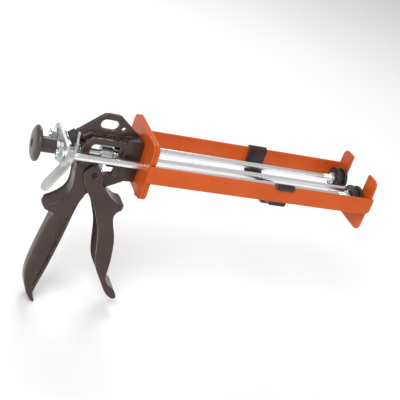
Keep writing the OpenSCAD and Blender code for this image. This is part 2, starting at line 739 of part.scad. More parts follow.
// Cross-recessed screw that holds the knob on the drive rod.
module knob_screw() {
  color(black)
    difference() {
      union() {
        bar_x(head_back - knob_dome + 0.9, head_back + 1.6, 0, drive_z, knob_screw_head / 2);
        bar_x(head_back + 1.5, stem_back + 8, 0, drive_z, 1.8);
      }
      for (a = [0, 90])
        translate([head_back - knob_dome, 0, drive_z])
          rotate([a + 20, 0, 0])
            cube([4, 5.4, 1.1], center = true);
    }
}

// Sliding clip that hangs between the rails and cradles the two cartridges.
module saddle_clip() {
  x0 = clip_position;
  x1 = clip_position + clip_width;
  r_in = rod_y - clip_sheet - clip_gap;
  r_out = r_in + clip_sheet;
  z_cut = -0.48 * r_in;
  wall_in = rod_y + r_in;
  wall_out = rod_y + r_out;
  top = rail_top + clip_gap;
  color(black)
    union() {
      for (s = [-1, 1]) {
        difference() {
          bar_x(x0, x1, s * rod_y, 0, r_out);
          bar_x(x0 - 1, x1 + 1, s * rod_y, 0, r_in);
          block(x0 - 1, x1 + 1, -carriage_width, carriage_width, 0, 40);
          block(x0 - 1, x1 + 1, s > 0 ? -carriage_width : -rod_y, s > 0 ? rod_y : carriage_width, z_cut, 40);
        }
        block(x0, x1, s > 0 ? wall_in : -wall_out, s > 0 ? wall_out : -wall_in, 0, top + clip_sheet);
        block(x0, x1, s > 0 ? wall_in + 0.2 : 0.2 - wall_out, s > 0 ? wall_out - 0.2 : -wall_in - 0.2,
          -clip_skirt, 0);
        block(x0, x1, s > 0 ? wall_in : -clip_out, s > 0 ? clip_out : -wall_in, top, top + clip_sheet);
        block(x0, x1, s > 0 ? clip_out - clip_sheet : -clip_out, s > 0 ? clip_out : clip_sheet - clip_out,
          top - clip_gap - clip_lip, top + clip_sheet);
      }
      block(x0, x1, -rod_y + r_in * 0.91, rod_y - r_in * 0.91, z_cut - clip_sheet, z_cut);
    }
}

carriage_frame();
seat_plate();
front_plate();
plate_rivets();
body_screws();
gun_body();
drive_bush();
trigger();
trigger_pivot();
push_pin();
drive_dog();
drive_collar();
drive_spring();
release_plate();
release_spring();
buffer_block();
drive_rod();
left_rod();
right_rod();
left_plunger();
right_plunger();
plunger_nuts();
yoke_plate();
yoke_nuts();
knob();
knob_screw();
saddle_clip();
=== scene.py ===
import json
import math

import bmesh
import bpy
from mathutils import Matrix, Vector


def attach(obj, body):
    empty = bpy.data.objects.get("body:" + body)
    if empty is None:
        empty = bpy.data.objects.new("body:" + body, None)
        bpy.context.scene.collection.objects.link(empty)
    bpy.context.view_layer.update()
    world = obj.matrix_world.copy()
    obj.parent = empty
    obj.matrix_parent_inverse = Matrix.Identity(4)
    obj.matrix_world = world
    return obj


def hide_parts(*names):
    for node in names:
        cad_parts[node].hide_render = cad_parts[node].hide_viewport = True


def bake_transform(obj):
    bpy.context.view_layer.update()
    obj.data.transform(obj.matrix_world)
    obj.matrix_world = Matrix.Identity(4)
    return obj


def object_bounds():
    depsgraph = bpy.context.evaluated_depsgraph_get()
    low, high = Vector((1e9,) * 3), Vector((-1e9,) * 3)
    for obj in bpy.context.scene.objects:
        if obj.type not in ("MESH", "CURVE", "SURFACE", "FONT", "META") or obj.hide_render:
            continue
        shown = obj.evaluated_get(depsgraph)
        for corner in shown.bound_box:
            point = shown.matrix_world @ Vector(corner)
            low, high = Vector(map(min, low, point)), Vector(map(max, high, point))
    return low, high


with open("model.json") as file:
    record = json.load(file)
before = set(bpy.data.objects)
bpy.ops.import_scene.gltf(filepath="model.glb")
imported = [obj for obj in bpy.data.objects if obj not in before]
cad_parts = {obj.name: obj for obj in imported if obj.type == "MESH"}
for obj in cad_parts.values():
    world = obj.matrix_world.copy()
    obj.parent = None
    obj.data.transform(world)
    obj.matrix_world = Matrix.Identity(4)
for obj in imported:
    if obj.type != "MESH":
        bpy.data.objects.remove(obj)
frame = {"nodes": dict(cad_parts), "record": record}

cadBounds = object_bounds()
mm = 0.001
scene = bpy.context.scene
print("frame loaded,", len(frame["nodes"]), "nodes")


# an empty shader group with named inputs and outputs
def newGroup(name, ins, outs):
    group = bpy.data.node_groups.new(name, "ShaderNodeTree")
    for label, value in ins.items():
        kind = "NodeSocketVector" if isinstance(value, tuple) else "NodeSocketFloat"
        socket = group.interface.new_socket(name=label, in_out="INPUT", socket_type=kind)
        socket.default_value = value
    for label in outs:
        group.interface.new_socket(name=label, in_out="OUTPUT", socket_type="NodeSocketFloat")
    inNode = group.nodes.new("NodeGroupInput")
    outNode = group.nodes.new("NodeGroupOutput")
    return group, inNode, outNode


def addNode(tree, kind, **values):
    node = tree.nodes.new(kind)
    for key, value in values.items():
        setattr(node, key, value)
    return node


def mathNode(tree, operation, a, b=None, clamp=False):
    node = addNode(tree, "ShaderNodeMath", operation=operation, use_clamp=clamp)
    for index, value in enumerate((a, b)):
        if value is None:
            continue
        if isinstance(value, (int, float)):
            node.inputs[index].default_value = value
        else:
            tree.links.new(value, node.inputs[index])
    return node.outputs[0]


def rampNode(tree, source, low, high, toLow=0.0, toHigh=1.0):
    node = addNode(tree, "ShaderNodeMapRange", clamp=True)
    tree.links.new(source, node.inputs["Value"])
    node.inputs["From Min"].default_value = low
    node.inputs["From Max"].default_value = high
    node.inputs["To Min"].default_value = toLow
    node.inputs["To Max"].default_value = toHigh
    return node.outputs["Result"]


def mixColour(tree, factor, a, b, blend="MIX"):
    node = addNode(tree, "ShaderNodeMix", data_type="RGBA", blend_type=blend)
    for value, socket in ((factor, node.inputs[0]), (a, node.inputs[6]), (b, node.inputs[7])):
        if isinstance(value, (int, float, tuple)):
            socket.default_value = value
        else:
            tree.links.new(value, socket)
    return node.outputs[2]


def noiseNode(tree, vector, scale, detail=4.0, roughness=0.55):
    node = addNode(tree, "ShaderNodeTexNoise")
    tree.links.new(vector, node.inputs["Vector"])
    if isinstance(scale, (int, float)):
        node.inputs["Scale"].default_value = scale
    else:
        tree.links.new(scale, node.inputs["Scale"])
    node.inputs["Detail"].default_value = detail
    node.inputs["Roughness"].default_value = roughness
    return node.outputs["Fac"]


# lighter rims: worn paint, and on the umber casting a painted highlight line along every rounded edge;
# compares a rounded normal with the true one
def buildEdgeWearAndHighlight():
    group, gin, gout = newGroup("edgeWearAndHighlight", {"Radius": 0.0008, "Amount": 0.5, "Breakup": 220.0}, ["Mask"])
    bevel = addNode(group, "ShaderNodeBevel", samples=4)
    group.links.new(gin.outputs["Radius"], bevel.inputs["Radius"])
    geometry = addNode(group, "ShaderNodeNewGeometry")
    dot = addNode(group, "ShaderNodeVectorMath", operation="DOT_PRODUCT")
    group.links.new(bevel.outputs[0], dot.inputs[0])
    group.links.new(geometry.outputs["Normal"], dot.inputs[1])
    edge = rampNode(group, dot.outputs["Value"], 0.985, 0.86)
    coords = addNode(group, "ShaderNodeTexCoord")
    patchy = noiseNode(group, coords.outputs["Object"], gin.outputs["Breakup"], 5.0, 0.65)
    patchy = rampNode(group, patchy, 0.42, 0.62)
    mask = mathNode(group, "MULTIPLY", edge, patchy)
    mask = mathNode(group, "MULTIPLY", mask, gin.outputs["Amount"], clamp=True)
    group.links.new(mask, gout.inputs["Mask"])
    return group


# fine skin of a sprayed or cast surface, with slow tone drift and dust specks
def buildSkin():
    group, gin, gout = newGroup("paintSkin", {"Grain": 1400.0, "Drift": 35.0, "Speck": 900.0},
                                ["Height", "Tone", "Specks"])
    coords = addNode(group, "ShaderNodeTexCoord")
    fine = noiseNode(group, coords.outputs["Object"], gin.outputs["Grain"], 3.0, 0.6)
    cell = addNode(group, "ShaderNodeTexVoronoi", feature="SMOOTH_F1")
    group.links.new(coords.outputs["Object"], cell.inputs["Vector"])
    group.links.new(gin.outputs["Grain"], cell.inputs["Scale"])
    peel = mathNode(group, "MULTIPLY", cell.outputs["Distance"], 0.6)
    height = mathNode(group, "ADD", fine, peel)
    group.links.new(height, gout.inputs["Height"])
    drift = noiseNode(group, coords.outputs["Object"], gin.outputs["Drift"], 3.0, 0.5)
    group.links.new(drift, gout.inputs["Tone"])
    speck = noiseNode(group, coords.outputs["Object"], gin.outputs["Speck"], 2.0, 0.7)
    speck = rampNode(group, speck, 0.70, 0.78)
    group.links.new(speck, gout.inputs["Specks"])
    return group


# long marks left by drawing or brushing, along one axis
def buildStreaks():
    group, gin, gout = newGroup("drawnStreaks", {"Across": (20.0, 1600.0, 1600.0), "Blotch": 60.0},
                                ["Height", "Tone", "Smudge"])
    coords = addNode(group, "ShaderNodeTexCoord")
    stretch = addNode(group, "ShaderNodeVectorMath", operation="MULTIPLY")
    group.links.new(coords.outputs["Object"], stretch.inputs[0])
    group.links.new(gin.outputs["Across"], stretch.inputs[1])
    fine = noiseNode(group, stretch.outputs[0], 1.0, 4.0, 0.6)
    group.links.new(fine, gout.inputs["Height"])
    broad = noiseNode(group, stretch.outputs[0], 0.22, 3.0, 0.5)
    group.links.new(broad, gout.inputs["Tone"])
    smudge = noiseNode(group, coords.outputs["Object"], gin.outputs["Blotch"], 4.0, 0.6)
    group.links.new(smudge, gout.inputs["Smudge"])
    return group


edgeWearAndHighlight = buildEdgeWearAndHighlight()
paintSkin = buildSkin()
drawnStreaks = buildStreaks()
print("shader groups built")


def newMaterial(name):
    material = bpy.data.materials.new(name)
    material.use_nodes = True
    tree = material.node_tree
    shader = tree.nodes["Principled BSDF"]
    return material, tree, shader


def placeGroup(tree, group, **values):
    node = tree.nodes.new("ShaderNodeGroup")
    node.node_tree = group
    for key, value in values.items():
        node.inputs[key].default_value = value
    return node


def addBump(tree, shader, height, distance, strength):
    bump = tree.nodes.new("ShaderNodeBump")
    bump.inputs["Strength"].default_value = strength
    bump.inputs["Distance"].default_value = distance
    tree.links.new(height, bump.inputs["Height"])
    tree.links.new(bump.outputs["Normal"], shader.inputs["Normal"])


def paintMaterial(name, look):
    material, tree, shader = newMaterial(name)
    skin = placeGroup(tree, paintSkin, Grain=look["grain"], Drift=look["drift"], Speck=look["speck"])
    rimWearAndHighlight = placeGroup(tree, edgeWearAndHighlight, Radius=look["rimWearHighlightRadius"], Amount=look["rimWearAndHighlight"], Breakup=look["breakup"])
    tone = rampNode(tree, skin.outputs["Tone"], 0.3, 0.7)
    base = mixColour(tree, tone, look["deep"], look["light"])
    specks = mathNode(tree, "MULTIPLY", skin.outputs["Specks"], look["speckAmount"])
    base = mixColour(tree, specks, base, look["speckColour"])
    # lighter colour on the rims: worn paint, and on the umber casting a painted highlight along the edges
    base = mixColour(tree, rimWearAndHighlight.outputs["Mask"], base, look["under"])
    tree.links.new(base, shader.inputs["Base Color"])
    rough = rampNode(tree, skin.outputs["Tone"], 0.25, 0.75, look["rough"][0], look["rough"][1])
    rough = mathNode(tree, "ADD", rough, mathNode(tree, "MULTIPLY", rimWearAndHighlight.outputs["Mask"], 0.12), clamp=True)
    tree.links.new(rough, shader.inputs["Roughness"])
    shader.inputs["Metallic"].default_value = look.get("metallic", 0.0)
    shader.inputs["Specular IOR Level"].default_value = look.get("specular", 0.5)
    shader.inputs["Coat Weight"].default_value = look.get("coat", 0.0)
    shader.inputs["Coat Roughness"].default_value = look.get("coatRough", 0.2)
    addBump(tree, shader, skin.outputs["Height"], look["bump"], look["bumpStrength"])
    return material


def metalMaterial(name, look):
    material, tree, shader = newMaterial(name)
    streaks = placeGroup(tree, drawnStreaks, Across=look["across"], Blotch=look["blotch"])
    rimWearAndHighlight = placeGroup(tree, edgeWearAndHighlight, Radius=look["rimWearHighlightRadius"], Amount=look["rimWearAndHighlight"], Breakup=look["breakup"])
    tone = rampNode(tree, streaks.outputs["Tone"], 0.35, 0.65)
    base = mixColour(tree, tone, look["deep"], look["light"])
    smudge = rampNode(tree, streaks.outputs["Smudge"], 0.45, 0.75, 0.0, look["smudge"])
    base = mixColour(tree, smudge, base, look["stain"])
    base = mixColour(tree, rimWearAndHighlight.outputs["Mask"], base, look["worn"])
    tree.links.new(base, shader.inputs["Base Color"])
    rough = rampNode(tree, streaks.outputs["Smudge"], 0.3, 0.7, look["rough"][0], look["rough"][1])
    tree.links.new(rough, shader.inputs["Roughness"])
    shader.inputs["Metallic"].default_value = look.get("metallic", 1.0)
    addBump(tree, shader, streaks.outputs["Height"], look["bump"], look["bumpStrength"])
    return material


# finishes: colours are linear, rimWearHighlightRadius and bump are in metres, grain and breakup are per metre
orangeCoat = {
    "grain": 1500.0, "drift": 26.0, "speck": 1100.0, "speckAmount": 0.25,
    "deep": (0.53, 0.080, 0.010, 1), "light": (0.59, 0.097, 0.014, 1),
    "speckColour": (0.60, 0.13, 0.04, 1), "under": (0.72, 0.20, 0.08, 1),
    "rimWearHighlightRadius": 0.0007, "rimWearAndHighlight": 0.45, "breakup": 260.0,
    "rough": (0.28, 0.40), "bump": 0.00005, "bumpStrength": 0.3, "specular": 0.2,
}
orangePaint = paintMaterial("orangePaint", orangeCoat)

# dark brown casting; its light rim colour is a painted highlight along every rounded edge, kept by the grip
# and clip finishes made from it
umberCoat = {
    "grain": 1100.0, "drift": 40.0, "speck": 800.0, "speckAmount": 0.3,
    "deep": (0.036, 0.019, 0.016, 1), "light": (0.050, 0.029, 0.025, 1),
    "speckColour": (0.11, 0.09, 0.085, 1), "under": (0.42, 0.37, 0.35, 1),
    "rimWearHighlightRadius": 0.0010, "rimWearAndHighlight": 0.85, "breakup": 200.0,
    "rough": (0.20, 0.32), "bump": 0.00006, "bumpStrength": 0.4, "specular": 0.42,
}
umberCasting = paintMaterial("umberCasting", umberCoat)

gripCoat = dict(umberCoat, grain=620.0, bump=0.0004, bumpStrength=0.9, rough=(0.34, 0.5))
gripCasting = paintMaterial("gripCasting", gripCoat)

clipCoat = dict(umberCoat, deep=(0.022, 0.011, 0.010, 1), light=(0.032, 0.018, 0.017, 1), rough=(0.26, 0.38))
clipPaint = paintMaterial("clipPaint", clipCoat)

plungerMould = {
    "grain": 1900.0, "drift": 60.0, "speck": 1300.0, "speckAmount": 0.35,
    "deep": (0.016, 0.010, 0.010, 1), "light": (0.028, 0.018, 0.017, 1),
    "speckColour": (0.07, 0.065, 0.062, 1), "under": (0.08, 0.07, 0.07, 1),
    "rimWearHighlightRadius": 0.0006, "rimWearAndHighlight": 0.35, "breakup": 300.0,
    "rough": (0.38, 0.52), "bump": 0.00004, "bumpStrength": 0.35, "specular": 0.5,
}
plungerPlastic = paintMaterial("plungerPlastic", plungerMould)

knobMould = dict(plungerMould, deep=(0.044, 0.030, 0.028, 1), light=(0.062, 0.044, 0.041, 1),
                 rough=(0.26, 0.38))
knobPlastic = paintMaterial("knobPlastic", knobMould)

bufferMould = dict(plungerMould, deep=(0.014, 0.017, 0.015, 1), light=(0.026, 0.031, 0.028, 1),
                   rough=(0.45, 0.62), grain=1300.0)
bufferRubber = paintMaterial("bufferRubber", bufferMould)

screwBlack = dict(knobMould, deep=(0.012, 0.012, 0.013, 1), light=(0.03, 0.03, 0.03, 1), rough=(0.25, 0.38),
                  metallic=0.6)
blackScrew = paintMaterial("blackScrew", screwBlack)

barSteel = {
    "across": (14.0, 1500.0, 1500.0), "blotch": 45.0,
    "deep": (0.72, 0.735, 0.75, 1), "light": (0.93, 0.94, 0.95, 1), "stain": (0.62, 0.61, 0.60, 1),
    "smudge": 0.25, "worn": (0.92, 0.93, 0.94, 1), "rimWearHighlightRadius": 0.0005, "rimWearAndHighlight": 0.4, "breakup": 300.0,
    "rough": (0.24, 0.34), "bump": 0.00001, "bumpStrength": 0.12,
}
brightSteel = metalMaterial("brightSteel", barSteel)

zincCoat = {
    "across": (260.0, 260.0, 260.0), "blotch": 120.0,
    "deep": (0.44, 0.45, 0.44, 1), "light": (0.58, 0.59, 0.57, 1), "stain": (0.46, 0.43, 0.35, 1),
    "smudge": 0.3, "worn": (0.74, 0.75, 0.73, 1), "rimWearHighlightRadius": 0.0006, "rimWearAndHighlight": 0.5, "breakup": 260.0,
    "rough": (0.34, 0.50), "bump": 0.00002, "bumpStrength": 0.3, "metallic": 0.8,
}
zincPlate = metalMaterial("zincPlate", zincCoat)

leverCoat = dict(zincCoat, deep=(0.52, 0.52, 0.51, 1), light=(0.64, 0.64, 0.63, 1), metallic=0.55)
leverZinc = metalMaterial("leverZinc", leverCoat)

nutCoat = dict(zincCoat, deep=(0.50, 0.51, 0.52, 1), light=(0.70, 0.71, 0.72, 1),
               rough=(0.24, 0.38), metallic=1.0)
brightZinc = metalMaterial("brightZinc", nutCoat)

wireSteel = dict(barSteel, across=(300.0, 300.0, 300.0), rough=(0.22, 0.36))
springWire = metalMaterial("springWire", wireSteel)
print("materials built")


# finish of each material slot, and the nodes that differ from their slot
finishes = {
    "orange_paint": orangePaint, "dark_casting": umberCasting, "black_paint": clipPaint,
    "zinc_plate": zincPlate, "bright_steel": brightSteel, "black_plastic": plungerPlastic,
    "black_rubber": bufferRubber, "black_steel": blackScrew,
}
special = {"push_pin": umberCasting}
softEdge = {
    "default": 0.0003, "seat_plate": 0.0012, "buffer_block": 0.0008, "yoke_plate": 0.0005,
    "push_pin": 0.00003,
}
softSegments = 2


def coverNode(name, material):
    piece = frame["nodes"][name]
    piece.data.materials.clear()
    piece.data.materials.append(material)


def softenEdges(piece, width, limit, mergeWithin):
    weld = piece.modifiers.new("weld", "WELD")
    weld.merge_threshold = mergeWithin
    bevel = piece.modifiers.new("softEdge", "BEVEL")
    bevel.width = width
    bevel.segments = softSegments
    bevel.limit_method = "ANGLE"
    bevel.angle_limit = math.radians(limit)
    bevel.use_clamp_overlap = False


def evenShade(piece):
    shade = piece.modifiers.new("evenShade", "WEIGHTED_NORMAL")
    shade.keep_sharp = True
    shade.weight = 60


slotOf = {entry["node"]: entry["material_slot"] for entry in frame["record"]["subparts"]}
for nodeName in frame["nodes"]:
    coverNode(nodeName, special.get(nodeName, finishes[slotOf[nodeName]]))
    node = frame["nodes"][nodeName]
    softenEdges(node, softEdge.get(nodeName, softEdge["default"]), 28, 0.000002)
    evenShade(node)
print("frame nodes covered")


# shape helpers, in millimetres
def curvePoint(a, b, c, d, t):
    # a smooth curve from b to c that also looks at the points before and after
    return tuple(0.5 * (2 * b[j] + (c[j] - a[j]) * t
                        + (2 * a[j] - 5 * b[j] + 4 * c[j] - d[j]) * t * t
                        + (3 * b[j] - a[j] - 3 * c[j] + d[j]) * t ** 3) for j in (0, 1))


def smoothLoop(points, steps):
    count = len(points)
    result = []
    for i in range(count):
        a, b, c, d = points[i - 1], points[i], points[(i + 1) % count], points[(i + 2) % count]
        result += [curvePoint(a, b, c, d, k / steps) for k in range(steps)]
    return result


def openCurve(points, steps):
    padded = [points[0]] + list(points) + [points[-1]]
    result = []
    for i in range(1, len(padded) - 2):
        result += [curvePoint(*padded[i - 1:i + 3], k / steps) for k in range(steps)]
    result.append(tuple(points[-1]))
    return result


def loopArea(points):
    return sum(points[i - 1][0] * p[1] - p[0] * points[i - 1][1] for i, p in enumerate(points)) / 2


def turned(points, wantPositive=True):
    return list(points) if (loopArea(points) > 0) == wantPositive else list(reversed(points))


def insetLoop(points, amounts):
    # moves each point inward by its own amount
    result = []
    count = len(points)
    for i, p in enumerate(points):
        before = Vector(p) - Vector(points[i - 1])
        after = Vector(points[(i + 1) % count]) - Vector(p)
        n1 = Vector((-before.y, before.x)).normalized()
        n2 = Vector((-after.y, after.x)).normalized()
        spread = max(0.35, 1 + n1.dot(n2))
        move = (n1 + n2) / spread * amounts[i]
        result.append((p[0] + move.x, p[1] + move.y))
    return result


def arcPoints(cx, cy, r, start, end, steps):
    return [(cx + r * math.cos(math.radians(start + (end - start) * k / steps)),
             cy + r * math.sin(math.radians(start + (end - start) * k / steps))) for k in range(steps + 1)]


def circlePoints(cx, cy, r, count=32):
    return arcPoints(cx, cy, r, 0, 360 - 360 / count, count - 1)


def slotPoints(cx, cy, length, height, steps=12):
    r = height / 2
    reach = length / 2 - r
    return arcPoints(cx + reach, cy, r, -90, 90, steps) + arcPoints(cx - reach, cy, r, 90, 270, steps)


def roundedCorners(points, radius, steps=4):
    result = []
    count = len(points)
    for i, p in enumerate(points):
        here = Vector(p)
        back = Vector(points[i - 1]) - here
        ahead = Vector(points[(i + 1) % count]) - here
        reach = min(radius, back.length * 0.45, ahead.length * 0.45)
        a = here + back.normalized() * reach
        b = here + ahead.normalized() * reach
        for k in range(steps + 1):
            t = k / steps
            result.append(tuple(a * (1 - t) ** 2 + here * 2 * t * (1 - t) + b * t * t))
    return result


# where the two outline axes and the height of a slab point in the frame
planes = {
    "xz": lambda u, v, w: Vector((u, w, v)) * mm,
    "yz": lambda u, v, w: Vector((w, u, v)) * mm,
    "xy": lambda u, v, w: Vector((u, v, w)) * mm,
}


def joinRows(bm, rows):
    # a skin of four-sided faces from each row of points to the next
    for lower, upper in zip(rows[:-1], rows[1:]):
        for i in range(len(lower)):
            j = (i + 1) % len(lower)
            bm.faces.new((lower[i], lower[j], upper[j], upper[i]))


def closeEnds(bm, rows):
    bm.faces.new(rows[0])
    bm.faces.new(rows[-1])
    bmesh.ops.recalc_face_normals(bm, faces=bm.faces)


def slabMesh(outer, low, high, roundLow=0.5, roundHigh=0.5, holes=(), plane="xz", steps=3):
    # a flat plate with rounded rims; roundLow and roundHigh are numbers or functions of an outline point
    place = planes[plane]
    bm = bmesh.new()
    capLoops = [[], []]
    for index, loop in enumerate([outer] + list(holes)):
        points = turned(loop, index == 0)
        lowR = [roundLow(p) if callable(roundLow) else roundLow for p in points]
        highR = [roundHigh(p) if callable(roundHigh) else roundHigh for p in points]
        rows = []
        for side, radii, start, sign in ((0, lowR, low, 1), (1, highR, high, -1)):
            order = range(steps, -1, -1) if side == 0 else range(0, steps + 1)
            for k in order:
                t = math.pi / 2 * k / steps
                inset = insetLoop(points, [r * (1 - math.cos(t)) for r in radii])
                rows.append([bm.verts.new(place(q[0], q[1], start + sign * r * (1 - math.sin(t))))
                             for q, r in zip(inset, radii)])
        joinRows(bm, rows)
        capLoops[0].append(rows[0])
        capLoops[1].append(rows[-1])
    for loops in capLoops:
        if len(loops) == 1:
            bm.faces.new(loops[0])
            continue
        edges = []
        for row in loops:
            for i, vert in enumerate(row):
                edges.append(bm.edges.get((vert, row[(i + 1) % len(row)])))
        bmesh.ops.triangle_fill(bm, edges=edges, use_beauty=True)
    bmesh.ops.recalc_face_normals(bm, faces=bm.faces)
    return bm


def toObject(name, bm):
    mesh = bpy.data.meshes.new(name)
    bm.to_mesh(mesh)
    bm.free()
    for face in mesh.polygons:
        face.use_smooth = True
    piece = bpy.data.objects.new(name, mesh)
    scene.collection.objects.link(piece)
    return piece


def slab(name, *shape, **options):
    return toObject(name, slabMesh(*shape, **options))


def cutter(outline, low, high, plane="xz"):
    return slab("cut", outline, low, high, 0.0, 0.0, plane=plane, steps=1)


def boreCutter(x0, x1, radius, z, count=32):
    return toObject("cut", ringMesh([(x0, radius), (x1, radius)], 0, z, count))


def mirrored(sign, inner, outer):
    # the low and high end of a span on either side of the middle plane
    return sorted((sign * inner, sign * outer))


def combine(target, others, operation):
    # exact booleans, applied to the mesh at once
    for other in others:
        change = target.modifiers.new("shape", "BOOLEAN")
        change.operation = operation
        change.solver = "EXACT"
        change.object = other
        bpy.context.view_layer.update()
        done = bpy.data.meshes.new_from_object(target.evaluated_get(bpy.context.evaluated_depsgraph_get()))
        target.modifiers.clear()
        old = target.data
        target.data = done
        bpy.data.meshes.remove(old)
        bpy.data.objects.remove(other, do_unlink=True)
    return target


def finishPiece(piece, body, material, soften=0.0, limit=40.0):
    piece.data.materials.clear()
    piece.data.materials.append(material)
    for face in piece.data.polygons:
        face.use_smooth = True
        face.material_index = 0
    if soften:
        softenEdges(piece, soften * mm, limit, 0.00001)
    evenShade(piece)
    if body:
        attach(piece, body)
    return piece


def ringPoint(bm, x, y, z, radius, angle):
    return bm.verts.new(Vector((x, y + radius * math.cos(angle), z + radius * math.sin(angle))) * mm)


def ringMesh(profile, y, z, count=48):
    # a turned piece: profile is (x, radius) from the rear face to the front face
    bm = bmesh.new()
    rows = []
    for x, r in profile:
        if r == 0:
            rows.append([bm.verts.new(Vector((x, y, z)) * mm)])
            continue
        rows.append([ringPoint(bm, x, y, z, r, 2 * math.pi * i / count) for i in range(count)])
    for lower, upper in zip(rows[:-1], rows[1:]):
        for i in range(count):
            j = (i + 1) % count
            if len(lower) == 1 and len(upper) == 1:
                continue
            if len(lower) == 1:
                bm.faces.new((lower[0], upper[j], upper[i]))
            elif len(upper) == 1:
                bm.faces.new((lower[i], lower[j], upper[0]))
            else:
                bm.faces.new((lower[i], lower[j], upper[j], upper[i]))
    for row in (rows[0], rows[-1]):
        if len(row) > 1 and profile[0] != profile[-1]:
            bm.faces.new(row)
    if profile[0] == profile[-1]:
        bmesh.ops.remove_doubles(bm, verts=bm.verts, dist=1e-7)
    bmesh.ops.recalc_face_normals(bm, faces=bm.faces)
    return bm


def curvedCorner(a, corner, b, steps=4):
    # points of a soft bend from a to b round corner, for turned profiles
    return [tuple(Vector(a) * (1 - t) ** 2 + Vector(corner) * 2 * t * (1 - t) + Vector(b) * t * t)
            for t in (k / steps for k in range(steps + 1))]


def tubeMesh(path, radius, count=12):
    bm = bmesh.new()
    rows = []
    side = Vector((0, 0, 1))
    for i, p in enumerate(path):
        ahead = (path[min(i + 1, len(path) - 1)] - path[max(i - 1, 0)]).normalized()
        side = (side - ahead * side.dot(ahead)).normalized()
        across = ahead.cross(side)
        rows.append([bm.verts.new((p + (side * math.cos(2 * math.pi * k / count)
                                        + across * math.sin(2 * math.pi * k / count)) * radius) * mm)
                     for k in range(count)])
    joinRows(bm, rows)
    closeEnds(bm, rows)
    return bm


def stripMesh(path, thickness, halfWidth, edgeRound, plane, centre=0.0, steps=3):
    # a bent sheet: path is its middle line in one plane, halfWidth(length so far, whole length) is across it
    place = planes[plane]
    bm = bmesh.new()
    rows = []
    lengths = [0.0]
    for i in range(1, len(path)):
        lengths.append(lengths[-1] + (Vector(path[i]) - Vector(path[i - 1])).length)
    for i, p in enumerate(path):
        ahead = (Vector(path[min(i + 1, len(path) - 1)]) - Vector(path[max(i - 1, 0)])).normalized()
        normal = Vector((-ahead.y, ahead.x))
        half = halfWidth(lengths[i], lengths[-1])
        ring = []
        for sx, sy in ((1, 1), (-1, 1), (-1, -1), (1, -1)):
            for k in range(steps + 1):
                t = math.pi / 2 * k / steps
                if (sx, sy) in ((-1, 1), (1, -1)):
                    t = math.pi / 2 - t
                out = min(edgeRound, half * 0.9)
                w = sx * (half - out + out * math.cos(t))
                h = sy * (thickness / 2 - edgeRound + edgeRound * math.sin(t))
                q = Vector(p) + normal * h
                ring.append(bm.verts.new(place(q.x, q.y, centre + w)))
        rows.append(ring)
    joinRows(bm, rows)
    closeEnds(bm, rows)
    return bm


print("shape helpers ready")


# the casting: half widths across y, and outlines in x and z
casting = {
    "finHalf": 2.0, "wallOuter": 11.0, "wallInner": 8.0, "boxHalf": 12.5, "handleHalf": 11.5,
    "ridgeHalf": 3.3, "bridgeHalf": 10.9, "strutHalf": 3.0, "bossHalf": 8.2, "hollowHalf": 7.4,
    "saddleHalf": 9.4, "pillarSink": 0.4, "pillarRise": 0.95, "boxRim": 1.3, "backRound": 8.0,
    "pocketDepth": 2.1, "pocketRound": 3.0, "soften": 0.45, "softenAbove": 38,
    "rodZ": -2.0, "rodHole": 3.95, "bushHole": 7.5, "springHole": 6.9,
    "pivot": (-46.5, -31.5), "slot": (-45.4, 30.8, 19.0, 11.0), "lanyard": (-29.8, 28.2, 2.2),
    "pushSlot": (-48.4, -21.6, 15.4, 11.6), "gripTop": -70.0,
}
finOutline = [(-80.5, 14.6), (-78.4, 18.6), (-54.4, 40.6), (-52.2, 42), (-49.5, 42.6), (-38.2, 42.5),
              (-35.6, 41.9), (-33.2, 40.4), (-11.6, 23.4), (-9, 19.5), (-9, 12), (-66, 12), (-70, 10.5),
              (-80.5, 10.5)]
wallOutline = [(-70, -14), (-70, 6), (-68.8, 9.4), (-67.2, 11.6), (-63.2, 17.4), (-61, 18.8), (-25, 18.8),
               (-25, -21), (-33.6, -21), (-33.6, -19.4), (-31.2, -12), (-30.2, -4), (-30.2, 9.4), (-31, 11.2),
               (-33, 11.9), (-55, 11.9), (-57.6, 11.6), (-59.8, 10), (-61, 7.2), (-61.5, 3), (-61, -3),
               (-58.5, -7.5), (-50.5, -12.5), (-46, -18), (-41, -18), (-41, -37.8), (-46, -40), (-51, -45.5),
               (-60, -50), (-67.6, -44), (-67.8, -30), (-69.2, -20)]
boxOutline = [(-26, 19.2), (-24.6, 21.2), (-22.6, 21.8), (-10.4, 21.8), (-8.2, 21), (-7, 19), (-7, -24.5),
              (-15, -25), (-20, -25.2), (-23, -23.6), (-26, -20.6)]
strutOutline = [(-9, -24), (-9, -26.6), (-22, -34.4), (-30.4, -39), (-38.2, -41.2), (-46, -43.4), (-50, -38),
                (-46, -30), (-41.2, -26), (-37, -25), (-33.6, -23.4), (-24, -23.2), (-18, -22)]
bossOutline = [(-40.6, -28.4), (-40.6, -41), (-46, -43.4), (-56, -44), (-57, -34), (-51.5, -27.6), (-46, -27)]
handleOutline = [(-70.4, -12), (-70.4, -17), (-69.9, -23), (-69.1, -30.3), (-68.7, -38), (-69.3, -44),
                 (-71.4, -49.6), (-75, -54.2), (-79.8, -58.6), (-85, -62.2), (-89.6, -64.6), (-92.2, -66.6),
                 (-92.4, -68.8), (-90.2, -70.7), (-86, -71.9), (-81.6, -73.8), (-80.2, -77.6), (-82.4, -85.7),
                 (-86.1, -104), (-89.3, -122.6), (-91.7, -139.9), (-92.3, -151.8), (-90.7, -163.7),
                 (-86, -175.4), (-80, -183.8), (-76.8, -186.4), (-75.4, -185), (-78, -178), (-78.2, -170.6),
                 (-71.6, -141.5), (-64.4, -102.5), (-60.2, -75.1), (-57, -58), (-53.8, -50), (-53, -44),
                 (-57.5, -30), (-62.5, -14), (-66, -9.8)]
